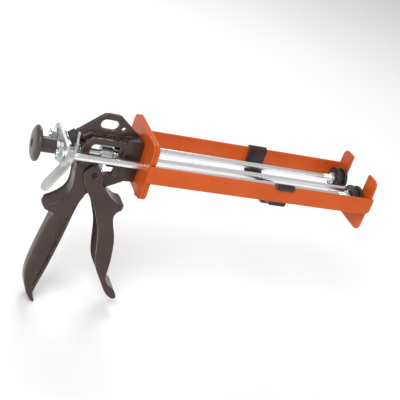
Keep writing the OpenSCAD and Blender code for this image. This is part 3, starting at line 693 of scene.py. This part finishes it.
hollowOutline = [(-50, -62), (-63, -62), (-69, -74), (-77, -104), (-83, -139), (-84.6, -152), (-82.8, -160),
                 (-79.5, -164), (-60, -164)]
pocketOutline = [(-74.2, -78.6), (-72.8, -86), (-72.2, -94), (-73, -108), (-74.2, -122), (-76.4, -137),
                 (-78.6, -149.4), (-80.6, -161), (-81.6, -167), (-80.2, -165.6), (-74.4, -141), (-70.2, -120),
                 (-66.6, -100), (-63.8, -84), (-63, -78), (-64.4, -76.4), (-70, -77.4)]
saddleOutline = [(-82, -14), (-69.4, -17), (-69, -23), (-68.2, -30.3), (-67.8, -38), (-68.4, -44.4),
                 (-70.6, -50.2), (-74.4, -55), (-79.2, -59.5), (-84.5, -63.1), (-89.1, -65.5), (-96, -67.2),
                 (-100, -40), (-90, -14)]
pillarOutline = [(-33.4, -9), (-28.2, -9), (-26.2, -19.4), (-28.6, -20.8), (-32.2, -19.4)]
roofOutline = [(-61, 14.6), (-25, 14.6), (-25, 18.7), (-61, 18.7)]
rearOutline = [(-70, -14), (-65, -14), (-65, 6), (-70, 6)]
ridgeOutline = [(-70.5, 12.2), (-70.5, 15), (-62.4, 20.4), (-25, 20.4), (-25, 12.2)]
# left half of the material taken off around the thumb rest, seen from above
spurSide = [(-94, 13), (-86, 13), (-86, 11.6), (-88.2, 11.0), (-90, 9.8), (-91.3, 8.0), (-92.1, 5.6),
            (-92.6, 2.6)]


def backRounding(p):
    # the hand side of the handle is well rounded, the thumb rest less, the other edges only eased
    x, z = p
    ease = 1.2 if z > -172 else max(0.3, 1.2 + (z + 172) * 0.09)
    rear = x < -72 - max(0.0, (-z - 140)) * 0.1 and x < -76 + (z + 75) * 0.12
    if not rear or z > -71 or z < -182:
        return ease
    fade = max(0.0, min(1.0, (-71 - z) / 16.0, (z + 182) / 27.0))
    return ease + (casting["backRound"] - ease) * fade


def mirroredPlan(side):
    # a plan symmetrical about the middle plane, from its left half
    return side + [(x, -y) for x, y in reversed(side)]


def buildBody():
    c = casting
    handle = slab("gunBodyShell", smoothLoop(handleOutline, 3), -c["handleHalf"], c["handleHalf"],
                  backRounding, backRounding, steps=5)
    pocket = roundedCorners(pocketOutline, c["pocketRound"])
    cuts = [cutter(pocket, *mirrored(sign, c["handleHalf"] - c["pocketDepth"], c["handleHalf"] + 2))
            for sign in (-1, 1)]
    cuts.append(cutter(hollowOutline, -c["hollowHalf"], c["hollowHalf"]))
    cuts.append(cutter(smoothLoop(saddleOutline, 3), -c["saddleHalf"], c["saddleHalf"]))
    cuts.append(cutter(mirroredPlan(spurSide), -73.2, -58, "xy"))
    combine(handle, cuts, "DIFFERENCE")
    joined = []
    wall = roundedCorners(wallOutline, 1.2, 2)
    for sign in (-1, 1):
        joined.append(slab("add", wall, *mirrored(sign, c["wallInner"], c["wallOuter"]), 0.3, 0.3, steps=1))
        low, high = mirrored(sign, c["wallOuter"] - c["pillarSink"], c["wallOuter"] + c["pillarRise"])
        joined.append(slab("add", pillarOutline, low, high, 0.3, 0.3, steps=1))
    for outline, half, rim, steps in (
            (roofOutline, c["bridgeHalf"], 0.3, 1),
            (rearOutline, c["bridgeHalf"], 0.3, 1),
            (boxOutline, c["boxHalf"], c["boxRim"], 3),
            (roundedCorners(strutOutline, 1.0, 2), c["strutHalf"], 0.4, 1),
            (bossOutline, c["bossHalf"], 0.2, 1),
            (ridgeOutline, c["ridgeHalf"], 0.8, 2)):
        joined.append(slab("add", outline, -half, half, rim, rim, steps=steps))
    finHoles = [slotPoints(*c["slot"]), circlePoints(*c["lanyard"], 24)]
    fin = roundedCorners(finOutline, 1.5, 3)
    joined.append(slab("add", fin, -c["finHalf"], c["finHalf"], holes=finHoles))
    combine(handle, joined, "UNION")
    holes = [boreCutter(-79, -5, c["rodHole"], c["rodZ"]), boreCutter(-28, -24, c["bushHole"], c["rodZ"]),
             boreCutter(-71, -67, c["springHole"], c["rodZ"]), cutter(slotPoints(*c["pushSlot"]), -14, 14)]
    combine(handle, holes, "DIFFERENCE")
    finishPiece(handle, "frame", umberCasting, soften=c["soften"], limit=c["softenAbove"])
    handle.data.materials.append(gripCasting)
    floorAt = (c["handleHalf"] - c["pocketDepth"]) * mm
    for face in handle.data.polygons:
        onFloor = abs(abs(face.center.y) - floorAt) < 0.05 * mm and abs(face.normal.y) > 0.99
        if onFloor and face.center.z < c["gripTop"] * mm:
            face.material_index = 1
    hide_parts("gun_body")


buildBody()
print("body built")


# the frame sheet: a plate across the gun and two rails bent forward from it
carriage = {
    "sheet": 3.0, "back": -7.0, "outer": 45.0, "bend": 3.5, "plateHalf": 41.8, "plateLow": -30.4,
    "plateTop": 32.4, "corner": 8.0, "railLow": -7.5, "railTop": 11.8, "railEnd": 259.6, "railCorner": 6.0,
    "plateEdge": 1.1, "railEdge": 0.8, "sharpEdge": 0.05, "holeEdge": 0.3, "rodHole": 3.95, "rodY": 21.0,
    "driveHole": (0, -2, 4.3), "railGap": 0.1, "holesWithin": (26, 8), "endEase": 0.6,
}


def mirroredOutline(half):
    # half runs from the bottom middle to the top middle; the end points stay single
    return half + [(-y, z) for y, z in reversed(half[1:-1])]


def buildCarriage():
    c = carriage
    mid = c["outer"] - c["sheet"] / 2
    start = mid - c["bend"]
    notchLow, notchTop = c["railLow"] - c["railGap"], c["railTop"] + c["railGap"]
    cornerY = c["plateHalf"] - c["corner"]
    half = [(0, c["plateLow"])] + arcPoints(cornerY, c["plateLow"] + c["corner"], c["corner"], -90, 0, 8)
    half += [(c["plateHalf"], notchLow), (start, notchLow), (start, notchTop), (c["plateHalf"], notchTop)]
    half += arcPoints(cornerY, c["plateTop"] - c["corner"], c["corner"], 0, 90, 8) + [(0, c["plateTop"])]
    holes = [circlePoints(c["rodY"], 0, c["rodHole"]), circlePoints(-c["rodY"], 0, c["rodHole"]),
             circlePoints(*c["driveHole"])]
    notch = {start, c["plateHalf"]}

    def edge(p):
        if abs(p[0]) < c["holesWithin"][0] and abs(p[1]) < c["holesWithin"][1]:
            return c["holeEdge"]
        inNotch = abs(p[0]) in notch and notchLow - 0.01 <= p[1] <= notchTop + 0.01
        return c["sharpEdge"] if inNotch else c["plateEdge"]
    plate = slab("carriageSheet", mirroredOutline(half), c["back"], c["back"] + c["sheet"], edge, edge,
                 holes=holes, plane="yz")
    height = (c["railTop"] - c["railLow"]) / 2
    middle = c["back"] + c["sheet"] / 2
    rails = []
    for sign in (-1, 1):
        path = [(middle, sign * (start - 0.6)), (middle, sign * start)]
        path += [(x, sign * y) for x, y in arcPoints(middle + c["bend"], start, c["bend"], 180, 90, 8)[1:]]
        stops = (20, 60, 100, 140, 180, 220, 250, c["railEnd"] - c["endEase"], c["railEnd"])
        path += [(x, sign * mid) for x in stops]

        def width(length, total):
            return height - max(0.0, c["endEase"] - (total - length)) * 0.8
        rail = toObject("add", stripMesh(path, c["sheet"], width, c["railEdge"], "xy",
                                         centre=(c["railTop"] + c["railLow"]) / 2))
        r = c["railCorner"]
        corner = [(c["railEnd"] + 1, c["railLow"] - 1), (c["railEnd"] + 1, c["railLow"] + r)]
        corner += arcPoints(c["railEnd"] - r, c["railLow"] + r, r, 0, -90, 8)
        corner += [(c["railEnd"] - r, c["railLow"] - 1)]
        combine(rail, [cutter(corner, *mirrored(sign, c["outer"] - 5, c["outer"] + 1))], "DIFFERENCE")
        rails.append(rail)
    combine(plate, rails, "UNION")
    finishPiece(plate, "frame", orangePaint)
    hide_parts("carriage_frame")


# the plate at the muzzle, with an open slot for the cartridge outlets
frontShape = {
    "back": 256.0, "sheet": 3.0, "half": 41.8, "reach": 31.2, "corner": 8.0, "wing": 42.3, "slot": 21.0,
    "lip": 1.0, "edge": 0.9,
}


def buildFrontPlate():
    f = frontShape
    low, top = carriage["railLow"] + carriage["railCorner"], carriage["railTop"]
    mid = f["half"] - f["corner"]
    side = arcPoints(mid, -f["reach"] + f["corner"], f["corner"], -90, 0, 8)
    side += [(f["half"], low), (f["wing"], low), (f["wing"], top), (f["half"], top)]
    side += arcPoints(mid, f["reach"] - f["corner"], f["corner"], 0, 90, 8)
    side += [(f["slot"] + f["lip"], f["reach"]), (f["slot"], f["reach"] - f["lip"])]
    side += arcPoints(0, 0, f["slot"], 0, -90, 16)
    outline = side + [(-y, z) for y, z in reversed(side[:-1])]

    def edge(p):
        onRail = abs(p[0]) > f["half"] - 0.01 and low - 0.01 <= p[1] <= top + 0.01
        return carriage["sharpEdge"] if onRail else f["edge"]
    plate = slab("frontPlateSheet", outline, f["back"], f["back"] + f["sheet"], edge, edge, plane="yz")
    finishPiece(plate, "frame", orangePaint)
    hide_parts("front_plate")


buildCarriage()
buildFrontPlate()
print("carriage built")


# the trigger: two cheeks joined by a web along the front
triggerShape = {
    "inner": 11.85, "outer": 14.25, "bend": 2.1, "rim": 0.5, "webLap": 0.25,
    "pivotHole": 3.05, "pushHole": 4.2, "pushPin": (-50.3, -22), "pushSeat": 0.8, "pushDisc": 4.15,
    "pushThick": 1.6, "crossReach": 2.48, "crossInner": 0.465, "crossTurn": 20,
}
frontEdge = [(-24.3, -47.1), (-15.7, -52.6), (-9.4, -54), (-7.4, -56), (-9.6, -58.6), (-14.1, -63),
             (-16.3, -68.2), (-13.9, -78.7), (-8.9, -92.4), (-6, -107.9), (-4.4, -125.1), (-4.2, -140),
             (-3.1, -148.1), (1, -154.6), (8.8, -160.4)]
triggerOutline = [(-54.6, -11.8), (-47.4, -13.4), (-42.8, -18.6), (-40.9, -23), (-39.6, -29.6),
                  (-35.1, -36.6)] + frontEdge + [
                  (13.6, -168.2), (12.4, -171.8), (7.3, -171.4), (-0.9, -163.8), (-11.8, -146.4),
                  (-18.5, -134.9), (-22.4, -123.2), (-25.3, -106.2), (-29, -87.2), (-34.9, -72.2),
                  (-41.5, -58.3), (-50.5, -45.2), (-57, -36), (-60.7, -26), (-60.6, -18.6)]
webOutline = [(-30.4, -41.2)] + frontEdge + [
              (13.3, -168.2), (12.2, -171.3), (8.6, -168.8), (5.6, -163.2), (-1.9, -157.2), (-6.6, -149.4),
              (-7.6, -140.4), (-7.8, -125.2), (-9.4, -108.4), (-12.2, -93.4), (-17.2, -79.6), (-19.7, -68.2),
              (-18.2, -61.6), (-20, -56.4), (-26.4, -50), (-32.8, -43.4)]
# x, z, reach and bend radius where the sheet turns tighter
tightSpots = [(-8.2, -56, 7.0, 0.9), (13, -170, 9.0, 0.9), (-30, -42, 5.0, 0.5)]
# left half of the material taken off around the horn, seen from above
noseSide = [(-6, 17), (-13.5, 17), (-13.5, 14.6), (-11.4, 13.9), (-9.8, 12.7), (-8.6, 11.0), (-7.8, 8.8),
            (-7.2, 5.6), (-6.9, 2)]


def frontBend(p):
    # the front edge is where the sheet turns round into the web; tight near the horn and the tip
    front = p[0] > -34 + (-p[1] - 40) * 0.17 if p[1] > -150 else p[0] > 4.5
    if p[1] > -38 or not front:
        return triggerShape["rim"]
    radius = triggerShape["bend"]
    for x, z, reach, small in tightSpots:
        share = min(1.0, math.hypot(p[0] - x, p[1] - z) / reach)
        radius = min(radius, small + (triggerShape["bend"] - small) * share * share)
    return radius


def buildTrigger():
    t = triggerShape
    outline = smoothLoop(triggerOutline, 3)
    holes = [circlePoints(*casting["pivot"], t["pivotHole"]), circlePoints(*t["pushPin"], t["pushHole"])]
    rim = t["rim"] * 0.5
    shell = slab("triggerShell", outline, t["inner"], t["outer"], rim, frontBend, holes=holes, steps=4)
    far = slab("add", outline, -t["outer"], -t["inner"], frontBend, rim, holes=holes, steps=4)
    webHalf = t["inner"] + t["webLap"]
    web = slab("add", smoothLoop(webOutline, 3), -webHalf, webHalf, 0.0, 0.0, steps=1)
    combine(shell, [far, web], "UNION")
    combine(shell, [cutter(mirroredPlan(noseSide), -64.5, -50, "xy")], "DIFFERENCE")
    finishPiece(shell, "trigger", umberCasting)
    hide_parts("trigger")


# the pivot pin: places along it from its middle, and the radii of its domed heads and shank
pivotShape = {"reach": 15.6, "head": 4.35, "face": 2.6, "neck": 14.35, "dome": 14.5, "shank": 2.95}


def buildPivot():
    v = pivotShape
    pivotX, pivotZ = casting["pivot"]
    dome = curvedCorner((-v["reach"], v["face"]), (-v["reach"], 4.2), (-v["dome"], v["head"]))
    side = [(-v["reach"], 0)] + dome + [(-v["neck"], v["head"]), (-v["neck"], v["shank"])]
    bm = ringMesh(side + [(-x, r) for x, r in reversed(side)], 0, 0, 40)
    for vert in bm.verts:
        x, y, z = vert.co
        vert.co = Vector((pivotX * mm + y, x, pivotZ * mm + z))
    bmesh.ops.recalc_face_normals(bm, faces=bm.faces)
    pivot = toObject("triggerPivotPin", bm)
    finishPiece(pivot, "frame", umberCasting)
    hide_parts("trigger_pivot")


def buildPushPinEnds():
    # a staked cross in each end of the push pin
    t = triggerShape
    pinX, pinZ = t["pushPin"]
    cross = []
    for quarter in range(4):
        turn = t["crossTurn"] + 90 * quarter
        for radius, away in ((t["crossReach"], -14), (t["crossReach"], 14), (t["crossInner"], 45)):
            angle = math.radians(turn + away)
            cross.append((pinX + radius * math.cos(angle), pinZ + radius * math.sin(angle)))
    for side, sign in (("Right", -1), ("Left", 1)):
        end = sign * (t["outer"] - t["pushSeat"])
        low, high = sorted((end, end - sign * t["pushThick"]))
        disc = slab("pushPinEnd" + side, circlePoints(pinX, pinZ, t["pushDisc"]), low, high, 0.3, 0.3)
        combine(disc, [cutter(cross, end - 0.5, end + 0.5)], "DIFFERENCE")
        finishPiece(disc, "trigger", umberCasting, soften=0.15)


buildTrigger()
buildPivot()
buildPushPinEnds()
print("trigger built")


# the release lever: a bent tongue with fine teeth down its sides and a fork above
releaseShape = {
    "thickness": 2.9, "half": 8.95, "toothPitch": 1.5, "toothDepth": 0.35, "teethFrom": 22, "teethLeave": 18,
    "edge": 0.6, "bore": 4.35, "centre": -75.0, "forkHalf": 1.36, "bridgeHalf": 1.28,
    "lastSteps": (0.15, 0.25),
}
# left leg of the fork and the bridge below it, in y and z
forkLeg = [(2.6, 8.4), (8.0, 8.4), (8.0, 10.2), (6.2, 12.8), (6.2, 19.3), (2.6, 19.3)]
forkBridge = [(-8.4, 4.0), (8.4, 4.0), (8.4, 9.5), (-8.4, 9.5)]
tonguePath = [(-75, 8.5), (-75, 0), (-75, -8), (-75.9, -14.0), (-77.7, -19.2), (-80.7, -25.4), (-84.2, -31.8),
              (-87.8, -38.2), (-91.3, -44.6), (-94.4, -50.2), (-96.1, -53.0)]


def buildRelease():
    r = releaseShape

    def half(length, total):
        left = total - length
        width = r["half"]
        if left < width:
            width = math.sqrt(max(0.02, width * width - (width - left) ** 2))
        if r["teethFrom"] < length < total - r["teethLeave"]:
            phase = (length / r["toothPitch"]) % 1.0
            width -= r["toothDepth"] * (1 - abs(phase - 0.5) * 2)
        return width
    path = openCurve(tonguePath, 8)
    fine = []
    for a, b in zip(path[:-1], path[1:]):
        pieces = max(1, int((Vector(b) - Vector(a)).length / 0.5))
        fine += [tuple(Vector(a).lerp(Vector(b), k / pieces)) for k in range(pieces)]
    fine.append(path[-1])
    tail = Vector(fine[-1])
    lead = (tail - Vector(fine[-3])).normalized()
    fine += [tuple(tail + lead * d) for d in r["lastSteps"]]
    plate = toObject("releaseLever", stripMesh(fine, r["thickness"], half, r["edge"], "xz"))
    fork = []
    for sign in (-1, 1):
        leg = roundedCorners([(sign * y, z) for y, z in forkLeg], 0.9, 3)
        fork.append(slab("add", leg, r["centre"] - r["forkHalf"], r["centre"] + r["forkHalf"], plane="yz"))
    bridge = roundedCorners(forkBridge, 1.0, 2)
    fork.append(slab("add", bridge, r["centre"] - r["bridgeHalf"], r["centre"] + r["bridgeHalf"], 0.4, 0.4,
                     plane="yz"))
    combine(plate, fork, "UNION")
    combine(plate, [boreCutter(-90, -60, r["bore"], casting["rodZ"], 36)], "DIFFERENCE")
    finishPiece(plate, "release", leverZinc)
    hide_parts("release_plate")


buildRelease()
print("release lever built")


def coilPath(x0, x1, z, radius, wire, turns):
    # the turns lie closer together toward both ends
    count = turns * 28
    points = []
    for i in range(count + 1):
        share = i / count
        settled = 0.5 - 0.5 * math.cos(math.pi * share)
        pitch = 0.35 * share + 0.65 * settled
        angle = 2 * math.pi * turns * share
        points.append(Vector((x0 + wire / 2 + (x1 - x0 - wire) * pitch, radius * math.cos(angle),
                              z + radius * math.sin(angle))))
    return points


# span is along x; stands is the node a spring replaces, moves is the body at its rear end
springs = {
    "driveSpring": {"span": (-34.25, -25.05), "radius": 5.05, "wire": 1.25, "turns": 5,
                    "stands": "drive_spring", "moves": "dog"},
    "releaseSpring": {"span": (-73.4, -67.1), "radius": 5.2, "wire": 1.0, "turns": 4,
                      "stands": "release_spring", "moves": "release"},
}
for name, spec in springs.items():
    z = casting["rodZ"]
    low, high = spec["span"]
    path = coilPath(low, high, z, spec["radius"], spec["wire"], spec["turns"])
    spring = toObject(name, tubeMesh(path, spec["wire"] / 2))
    finishPiece(spring, None, springWire)
    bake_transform(spring)
    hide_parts(spec["stands"])
print("springs built")


# the rods, along x, with their threads and nuts
rods = {
    "radius": 3.75, "rear": -98.6, "front": 251.6, "sideY": 21.0, "chamfer": 0.7,
    "threads": [(-97.4, -76.5), (228.5, 238.6)], "thread": 1.25, "threadDepth": 0.42,
    "driveRear": -111.4, "driveFront": 249.8, "driveChamfer": 0.9, "driveThreads": [(-98.0, -84.5)],
    "nutFlats": 13.0, "nutBore": 3.74, "nutChamfer": 0.066,
    "rearNut": (-97.0, -90.5), "frontNut": (-87.0, -80.5), "plungerNut": (238.6, 242.6),
    "jamNut": (-94.5, -90.5),
}


def threadedBar(name, x0, x1, y, z, threads, chamfer):
    count = 48
    radius = rods["radius"]
    stations = [(x0, radius - chamfer, False), (x0 + chamfer, radius, False)]
    for a, b in threads:
        x = a
        while x < b:
            stations.append((x, radius, True))
            x += rods["thread"] / 8
        stations.append((b, radius, False))
    stations += [(x1 - chamfer, radius, False), (x1, radius - chamfer, False)]
    stations.sort(key=lambda s: s[0])
    bm = bmesh.new()
    rows = []
    for x, r, cut in stations:
        row = []
        for i in range(count):
            here = r
            if cut:
                wave = (x / rods["thread"] - i / count) % 1.0
                here -= rods["threadDepth"] * (1 - abs(wave - 0.5) * 2) ** 0.8
            row.append(ringPoint(bm, x, y, z, here, 2 * math.pi * i / count))
        rows.append(row)
    joinRows(bm, rows)
    closeEnds(bm, rows)
    return finishPiece(toObject(name, bm), "rods", brightSteel)


def hexNut(name, span, y, z, turn):
    # a nut with chamfered corners; turn is in degrees from a flat that faces sideways
    x0, x1 = span
    flats, bore = rods["nutFlats"], rods["nutBore"]
    depth = rods["nutChamfer"] * flats
    shares = [0.0, 0.25, 0.5, 0.75, 1.0]
    limits = [flats * 0.475 + flats * 0.105 * share ** 0.8 for share in shares]
    count = 72
    bm = bmesh.new()

    def row(x, limit):
        points = []
        for i in range(count):
            angle = 2 * math.pi * i / count
            flat = (math.degrees(angle) + 30) % 60 - 30
            reach = min(flats / 2 / math.cos(math.radians(flat)), limit)
            points.append(ringPoint(bm, x, y, z, reach, angle + math.radians(turn)))
        return points
    rows = [row(x0, bore)]
    rows += [row(x0 + depth * share, limit) for share, limit in zip(shares, limits)]
    rows += [row(x1 - depth * share, limit) for share, limit in reversed(list(zip(shares, limits)))]
    rows += [row(x1, bore)]
    rows.append(rows[0])
    joinRows(bm, rows)
    bmesh.ops.recalc_face_normals(bm, faces=bm.faces)
    return finishPiece(toObject(name, bm), "rods", brightZinc)


def buildRods():
    r = rods
    for side, sign in (("Left", 1), ("Right", -1)):
        y = sign * r["sideY"]
        bar = threadedBar("sideRod" + side, r["rear"], r["front"], y, 0, r["threads"], r["chamfer"])
        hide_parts(side.lower() + "_rod")
        hexNut("yokeNutRear" + side, r["rearNut"], y, 0, 30 + 7 * sign)
        hexNut("yokeNutFront" + side, r["frontNut"], y, 0, 14 - 9 * sign)
        hexNut("plungerNut" + side, r["plungerNut"], y, 0, 9 * sign)
    bar = threadedBar("driveRod", r["driveRear"], r["driveFront"], 0, casting["rodZ"], r["driveThreads"],
                      r["driveChamfer"])
    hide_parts("drive_rod")
    jam = hexNut("jamNut", r["jamNut"], 0, casting["rodZ"], 22)
    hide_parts("yoke_nuts", "plunger_nuts")


# the spool plungers: back is the x of the rear face, and each bend has a start, a corner, an end and steps
plungerShape = {
    "back": 241.8, "rear": [(0, 3.76), (0.8, 3.76), (0.8, 9.3), (0.5, 9.7), (0.1, 10.0)],
    "bends": [
        ((0, 12.4), (0, 13.5), (1.1, 13.5), 5), ((2.5, 13.5), (3.5, 13.5), (3.6, 12.3), 5),
        ((3.8, 9.6), (4.0, 8.4), (4.8, 8.4), 4), ((7.1, 8.4), (8.1, 8.4), (8.3, 9.6), 4),
        ((8.5, 12.3), (8.6, 13.5), (9.5, 13.5), 5), ((11.0, 13.5), (12.0, 13.5), (12.0, 12.4), 5),
    ],
    "front": [(12.0, 6.0), (11.5, 5.4), (11.5, 0)],
}


def buildPlungers():
    p = plungerShape
    profile = list(p["rear"])
    for start, corner, end, steps in p["bends"]:
        profile += curvedCorner(start, corner, end, steps)
    profile = [(p["back"] + x, r) for x, r in profile + p["front"]]
    for side, sign in (("Left", 1), ("Right", -1)):
        plunger = toObject("plunger" + side, ringMesh(profile, sign * rods["sideY"], 0, 64))
        finishPiece(plunger, "rods", plungerPlastic)
        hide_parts(side.lower() + "_plunger")


# the knob on the drive rod, and the screw in its face
knobShape = {
    "radius": 18.5, "face": -118.6, "seat": 1.2, "seatRadius": 4.6, "dish": 2.0, "screwFace": -117.9,
    "screwRadius": 4.5, "slotReach": 3.0, "slotHalf": 0.55, "slotTurn": 25, "slotFloor": -116.4,
}


def buildKnob():
    k = knobShape
    seat = k["face"] + k["seat"]
    profile = [(seat, 0), (seat, k["seatRadius"]), (k["face"] + 0.35, k["seatRadius"] + 0.3)]
    profile += [(k["face"] + 0.1 + k["dish"] * (r / k["radius"]) ** 2, r) for r in (5.6, 8, 10.5, 13, 15)]
    profile += curvedCorner((-116.4, 16.4), (-115.6, k["radius"]), (-113.9, k["radius"]), 5)
    profile += curvedCorner((-113.5, k["radius"]), (-112.0, 18.4), (-111.5, 16.6), 5)
    profile += [(-111.2, 14.0), (-110.9, 11.8)]
    profile += curvedCorner((-110.6, 10.6), (-110.1, 8.3), (-107.6, 8.3), 5)
    profile += [(-103, 8.25), (-98.5, 8.2)]
    profile += curvedCorner((-95.6, 8.2), (-94.6, 8.2), (-94.55, 7.3), 4)
    profile += [(-94.55, 4.2), (-96.2, 3.8), (-96.2, 0)]
    knob = toObject("knobHead", ringMesh(profile, 0, casting["rodZ"], 80))
    finishPiece(knob, "rods", knobPlastic)
    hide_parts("knob")
    profile = [(k["screwFace"], 0), (k["screwFace"], 2.4)]
    profile += curvedCorner((-117.85, 3.0), (-117.6, 4.4), (-116.6, k["screwRadius"]), 4)
    profile += [(-115.4, k["screwRadius"]), (-115.4, 0)]
    head = toObject("knobScrewHead", ringMesh(profile, 0, casting["rodZ"], 48))
    cuts = []
    reach, half = k["slotReach"], k["slotHalf"]
    for turn in (k["slotTurn"], k["slotTurn"] + 90):
        a = math.radians(turn)
        arm = [(x * math.cos(a) - z * math.sin(a), x * math.sin(a) + z * math.cos(a) + casting["rodZ"])
               for x, z in ((-reach, -half), (reach, -half), (reach, half), (-reach, half))]
        cuts.append(cutter(arm, k["face"] - 0.4, k["slotFloor"], "yz"))
    combine(head, cuts, "DIFFERENCE")
    finishPiece(head, "rods", blackScrew, soften=0.1)
    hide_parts("knob_screw")


buildRods()
buildPlungers()
buildKnob()
print("rods, nuts, plungers and knob built")


# the sliding clip: a strip bent over both rails and under the two cartridge tubes, with a tab outside each
clipShape = {
    "x0": 136.0, "x1": 158.0, "sheet": 2.0, "edge": 0.35, "cradle": 19.7, "saddleLow": -9.98,
    "tabInner": 39.95, "tabOuter": 41.5, "tabTop": 0.8, "tabLow": -13.8, "tabMargin": 0.6, "endEase": 1.2,
}


def buildClip():
    c = clipShape
    half = (c["x1"] - c["x0"]) / 2
    path = [(46.3, 8.1), (46.3, 9.4), (46.3, 10.8)] + arcPoints(44.3, 11.1, 2.0, 0, 90, 5)
    path += arcPoints(44.2, 9.0, 4.1, 95, 150, 6) + [(40.72, 8.4), (40.7, 6.0), (40.7, 3.0)]
    path += arcPoints(rods["sideY"], 0, c["cradle"], 0, -151, 34)[:-1]
    path += [(y, c["saddleLow"]) for y in (3.6, 1.4, 0)]
    path += [(-y, z) for y, z in reversed(path[:-1])]

    def width(length, total):
        end = min(length, total - length)
        return half - max(0.0, c["endEase"] - end) * 0.8
    middle = (c["x0"] + c["x1"]) / 2
    clip = toObject("saddleClip", stripMesh(path, c["sheet"], width, c["edge"], "yz", centre=middle))
    rear, front = c["x0"] + c["tabMargin"], c["x1"] - c["tabMargin"]
    tab = [(rear, c["tabTop"]), (front, c["tabTop"]), (front, c["tabLow"]), (rear, c["tabLow"])]
    tab = roundedCorners(tab, 2.5)
    tabs = [slab("add", tab, *mirrored(sign, c["tabInner"], c["tabOuter"]), 0.3, 0.3, steps=2)
            for sign in (-1, 1)]
    combine(clip, tabs, "UNION")
    finishPiece(clip, "clip", clipPaint)
    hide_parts("saddle_clip")


buildClip()
print("saddle clip built")


# lights are name, place, size and power
studio = {
    "floorDrop": 0.0005, "floorSize": 6.0, "floorColour": (0.93, 0.93, 0.93, 1),
    "worldColour": (1.0, 1.0, 1.0, 1), "worldStrength": 0.55,
    "lights": [
        ("keyLight", (-0.9, -1.1, 1.5), 0.9, 26.0),
        ("fillLight", (1.4, -1.1, 0.5), 0.8, 4.0),
        ("rimLight", (0.2, 1.2, 1.3), 0.8, 12.0),
    ],
    "aim": (0.05, 0.0, -0.03),
}
view = {
    "place": (-0.335, -0.840, 0.405), "azimuth": -26.23, "elevation": 25.47, "roll": 19.70,
    "lens": 85.2, "sensor": 36.0,
}


def buildFloor():
    mesh = bpy.data.meshes.new("floor")
    half = studio["floorSize"] / 2
    z = cadBounds[0][2] - studio["floorDrop"]
    corners = [(-half, -half, z), (half, -half, z), (half, half, z), (-half, half, z)]
    mesh.from_pydata(corners, [], [(0, 1, 2, 3)])
    floor = bpy.data.objects.new("floor", mesh)
    scene.collection.objects.link(floor)
    material, _, shader = newMaterial("paleFloor")
    shader.inputs["Base Color"].default_value = studio["floorColour"]
    shader.inputs["Roughness"].default_value = 0.9
    shader.inputs["Specular IOR Level"].default_value = 0.1
    mesh.materials.append(material)


def buildLights():
    scene.view_settings.view_transform = "Standard"
    world = bpy.data.worlds.new("studioWorld")
    scene.world = world
    world.use_nodes = True
    background = world.node_tree.nodes["Background"]
    background.inputs["Color"].default_value = studio["worldColour"]
    background.inputs["Strength"].default_value = studio["worldStrength"]
    for name, place, size, power in studio["lights"]:
        light = bpy.data.lights.new(name, "AREA")
        light.size = size
        light.energy = power
        lamp = bpy.data.objects.new(name, light)
        scene.collection.objects.link(lamp)
        lamp.location = place
        lamp.rotation_euler = (Vector(studio["aim"]) - Vector(place)).to_track_quat("-Z", "Y").to_euler()


def buildCamera():
    camera = bpy.data.cameras.new("camera")
    camera.lens = view["lens"]
    camera.sensor_width = view["sensor"]
    camera.clip_end = 20.0
    holder = bpy.data.objects.new("camera", camera)
    scene.collection.objects.link(holder)
    a = math.radians(view["azimuth"])
    e = math.radians(view["elevation"])
    r = math.radians(view["roll"])
    back = Vector((math.sin(a) * math.cos(e), -math.cos(a) * math.cos(e), math.sin(e)))
    level = Vector((math.cos(a), math.sin(a), 0.0))
    rise = back.cross(level)
    right = level * math.cos(r) + rise * math.sin(r)
    up = rise * math.cos(r) - level * math.sin(r)
    turn = Matrix((right, up, back)).transposed().to_4x4()
    holder.matrix_world = Matrix.Translation(Vector(view["place"])) @ turn
    scene.camera = holder


buildFloor()
buildLights()
buildCamera()
print("studio built")
